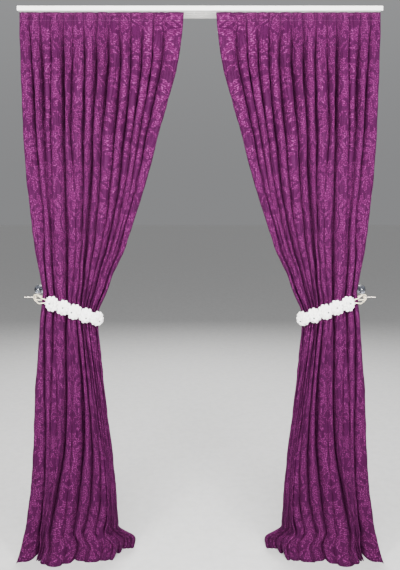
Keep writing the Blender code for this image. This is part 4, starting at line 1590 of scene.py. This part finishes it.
@dataclass
class Rail(Assembly):
    """Ceiling rail and the gliders in its first channel."""

    channel_y: float = -0.030
    foot_z: float = -0.0107
    foot_half: Triple = (0.0024, 0.0048, 0.0019)
    stem_profile: tuple[Pair, ...] = (
        (0.0, -0.0100), (0.0017, -0.0100), (0.0017, -0.0195), (0.00136, -0.0205), (0.0, -0.0205),
    )
    stem_sides: int = 12
    eye_radius: float = 0.0030
    eye_z: float = -0.0233
    eye_points: int = 24
    eye_wire: float = 0.00096
    wire: float = 0.0008
    wire_points: int = 36
    wire_sides: int = 8
    hook_route: tuple[Pair, ...] = (
        (-0.0300, -0.0256), (-0.0330, -0.0272), (-0.0372, -0.0282), (-0.0398, -0.0310), (-0.0404, -0.0360),
        (-0.0404, -0.0440), (-0.0396, -0.0466), (-0.0378, -0.0472), (-0.0364, -0.0458), (-0.0362, -0.0410),
    )

    def glider(self, hooked: bool) -> Surface:
        """Glider at X = 0: foot, stem and eye, and a wire hook where it carries cloth.

        Args:
            hooked: Whether it carries cloth.

        Returns:
            The glider.
        """
        foot = rounded_block((0.0, self.channel_y, self.foot_z), self.foot_half)
        stem = lathe(self.stem_profile, (0.0, self.channel_y, 0.0), self.stem_sides)
        angle = angles(self.eye_points)
        y = self.channel_y + self.eye_radius * np.cos(angle)
        z = self.eye_z + self.eye_radius * np.sin(angle)
        eye = tube(stacked(0.0, y, z), self.eye_wire, X_AXIS, self.wire_sides, ring=True)
        if not hooked:
            return Surface.joined([foot, stem, eye])
        route = smooth_route(tuple((0.0, y, z) for y, z in self.hook_route), self.wire_points)
        return Surface.joined([foot, stem, eye, tube(route, self.wire, X_AXIS, self.wire_sides)])

    def build(self) -> None:
        """Dress the rail and stand a glider in place of each solid one."""
        EXTRUDED.put_on(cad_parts["rail"])
        for node in sorted(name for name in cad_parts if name.startswith("glider")):
            low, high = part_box(node)
            surface = self.glider(hooked="spare" not in node).moved(X_AXIS * (low.x + high.x) / 2)
            self.piece(surface, node.replace("glider", "runner"), MOULDED, "glider", node)


@dataclass(frozen=True)
class Lamp:
    """Rectangular soft light: its place, its width and height, and its power in watts."""

    name: str
    place: Triple
    size: Pair
    watts: float

    def hang(self, aim: Triple) -> None:
        """Put the light in its place, turned to an aim.

        Args:
            aim: Point that it shines at.
        """
        data = bpy.data.lights.new(self.name, "AREA")
        data.shape = "RECTANGLE"
        data.size, data.size_y = self.size
        data.energy = self.watts
        lamp = linked(bpy.data.objects.new(self.name, data))
        lamp.location = self.place
        x, y, z = np.subtract(aim, self.place)
        lamp.rotation_euler = (math.atan2(math.hypot(x, y), -z), 0.0, math.atan2(-x, y))


@dataclass
class Studio:
    """Camera at the photograph's angle, pale floor and soft light."""

    image: tuple[int, int] = (400, 570)
    focal_px: float = 640.0
    rise_px: float = -85.0
    camera: Triple = (0.0, -3.070, -0.908)
    sensor_mm: float = 36.0
    floor_z: float = -2.600
    floor_half: float = 40.0
    sky: Colour = colour(0.95, 0.96, 0.98)
    sky_full_at: float = 0.8
    sky_strength: Pair = (0.27, 0.48)
    aim: Triple = (0.0, 0.0, -1.0)
    lamps: tuple[Lamp, ...] = (
        Lamp("left_light", (-1.2, -2.0, -0.5), (0.8, 0.8), 120.0),
        Lamp("right_light", (1.2, -2.0, -0.5), (0.8, 0.8), 120.0),
        Lamp("front_light", (0.0, -3.6, -0.2), (1.8, 1.6), 280.0),
        Lamp("back_light", (0.0, 3.6, 1.2), (3.4, 2.4), 380.0),
    )

    def make_camera(self) -> None:
        """Level camera, whose shift keeps the upright lines parallel."""
        data = bpy.data.cameras.new("camera")
        data.sensor_width = self.sensor_mm
        data.lens = self.focal_px / max(self.image) * self.sensor_mm
        data.shift_y = self.rise_px / max(self.image)
        camera = linked(bpy.data.objects.new("camera", data))
        camera.location = self.camera
        camera.rotation_euler = (math.pi / 2, 0.0, 0.0)
        bpy.context.scene.camera = camera

    def make_floor(self) -> None:
        """Pale floor under the hem."""
        reach = np.array((-1.0, 1.0)) * self.floor_half
        points = stacked(reach, reach[:, None], self.floor_z)
        floor = Surface.from_grid(points).make("floor", Side.LEFT, closed=False)
        FLOOR.put_on(floor)

    def make_light(self) -> None:
        """Lamps, and surroundings that brighten upwards.

        At the horizon they are as dark as the far end of the floor.
        """
        world = bpy.data.worlds.new("studio")
        world.use_nodes = True
        nodes = Nodes(world.node_tree)
        background = world.node_tree.nodes["Background"]
        background.inputs["Color"].default_value = self.sky
        height = nodes.axes(nodes.add("ShaderNodeTexCoord").outputs["Generated"])[2]
        strength = nodes.step(height, 0.0, self.sky_full_at, *self.sky_strength)
        nodes.feed(background.inputs["Strength"], strength)
        bpy.context.scene.world = world
        for lamp in self.lamps:
            lamp.hang(self.aim)

    def build(self) -> None:
        """Make the studio."""
        self.make_camera()
        self.make_floor()
        self.make_light()


def main() -> None:
    """Build each sub-assembly in turn."""
    Studio().build()
    Rail().build()
    for side in Side:
        curtain = Curtain(side)
        curtain.build()
        Tieback(side, curtain=curtain).build()
        Hook(side).build()


if __name__ == "__main__":
    logging.basicConfig(level=logging.INFO, format="%(message)s")
    main()
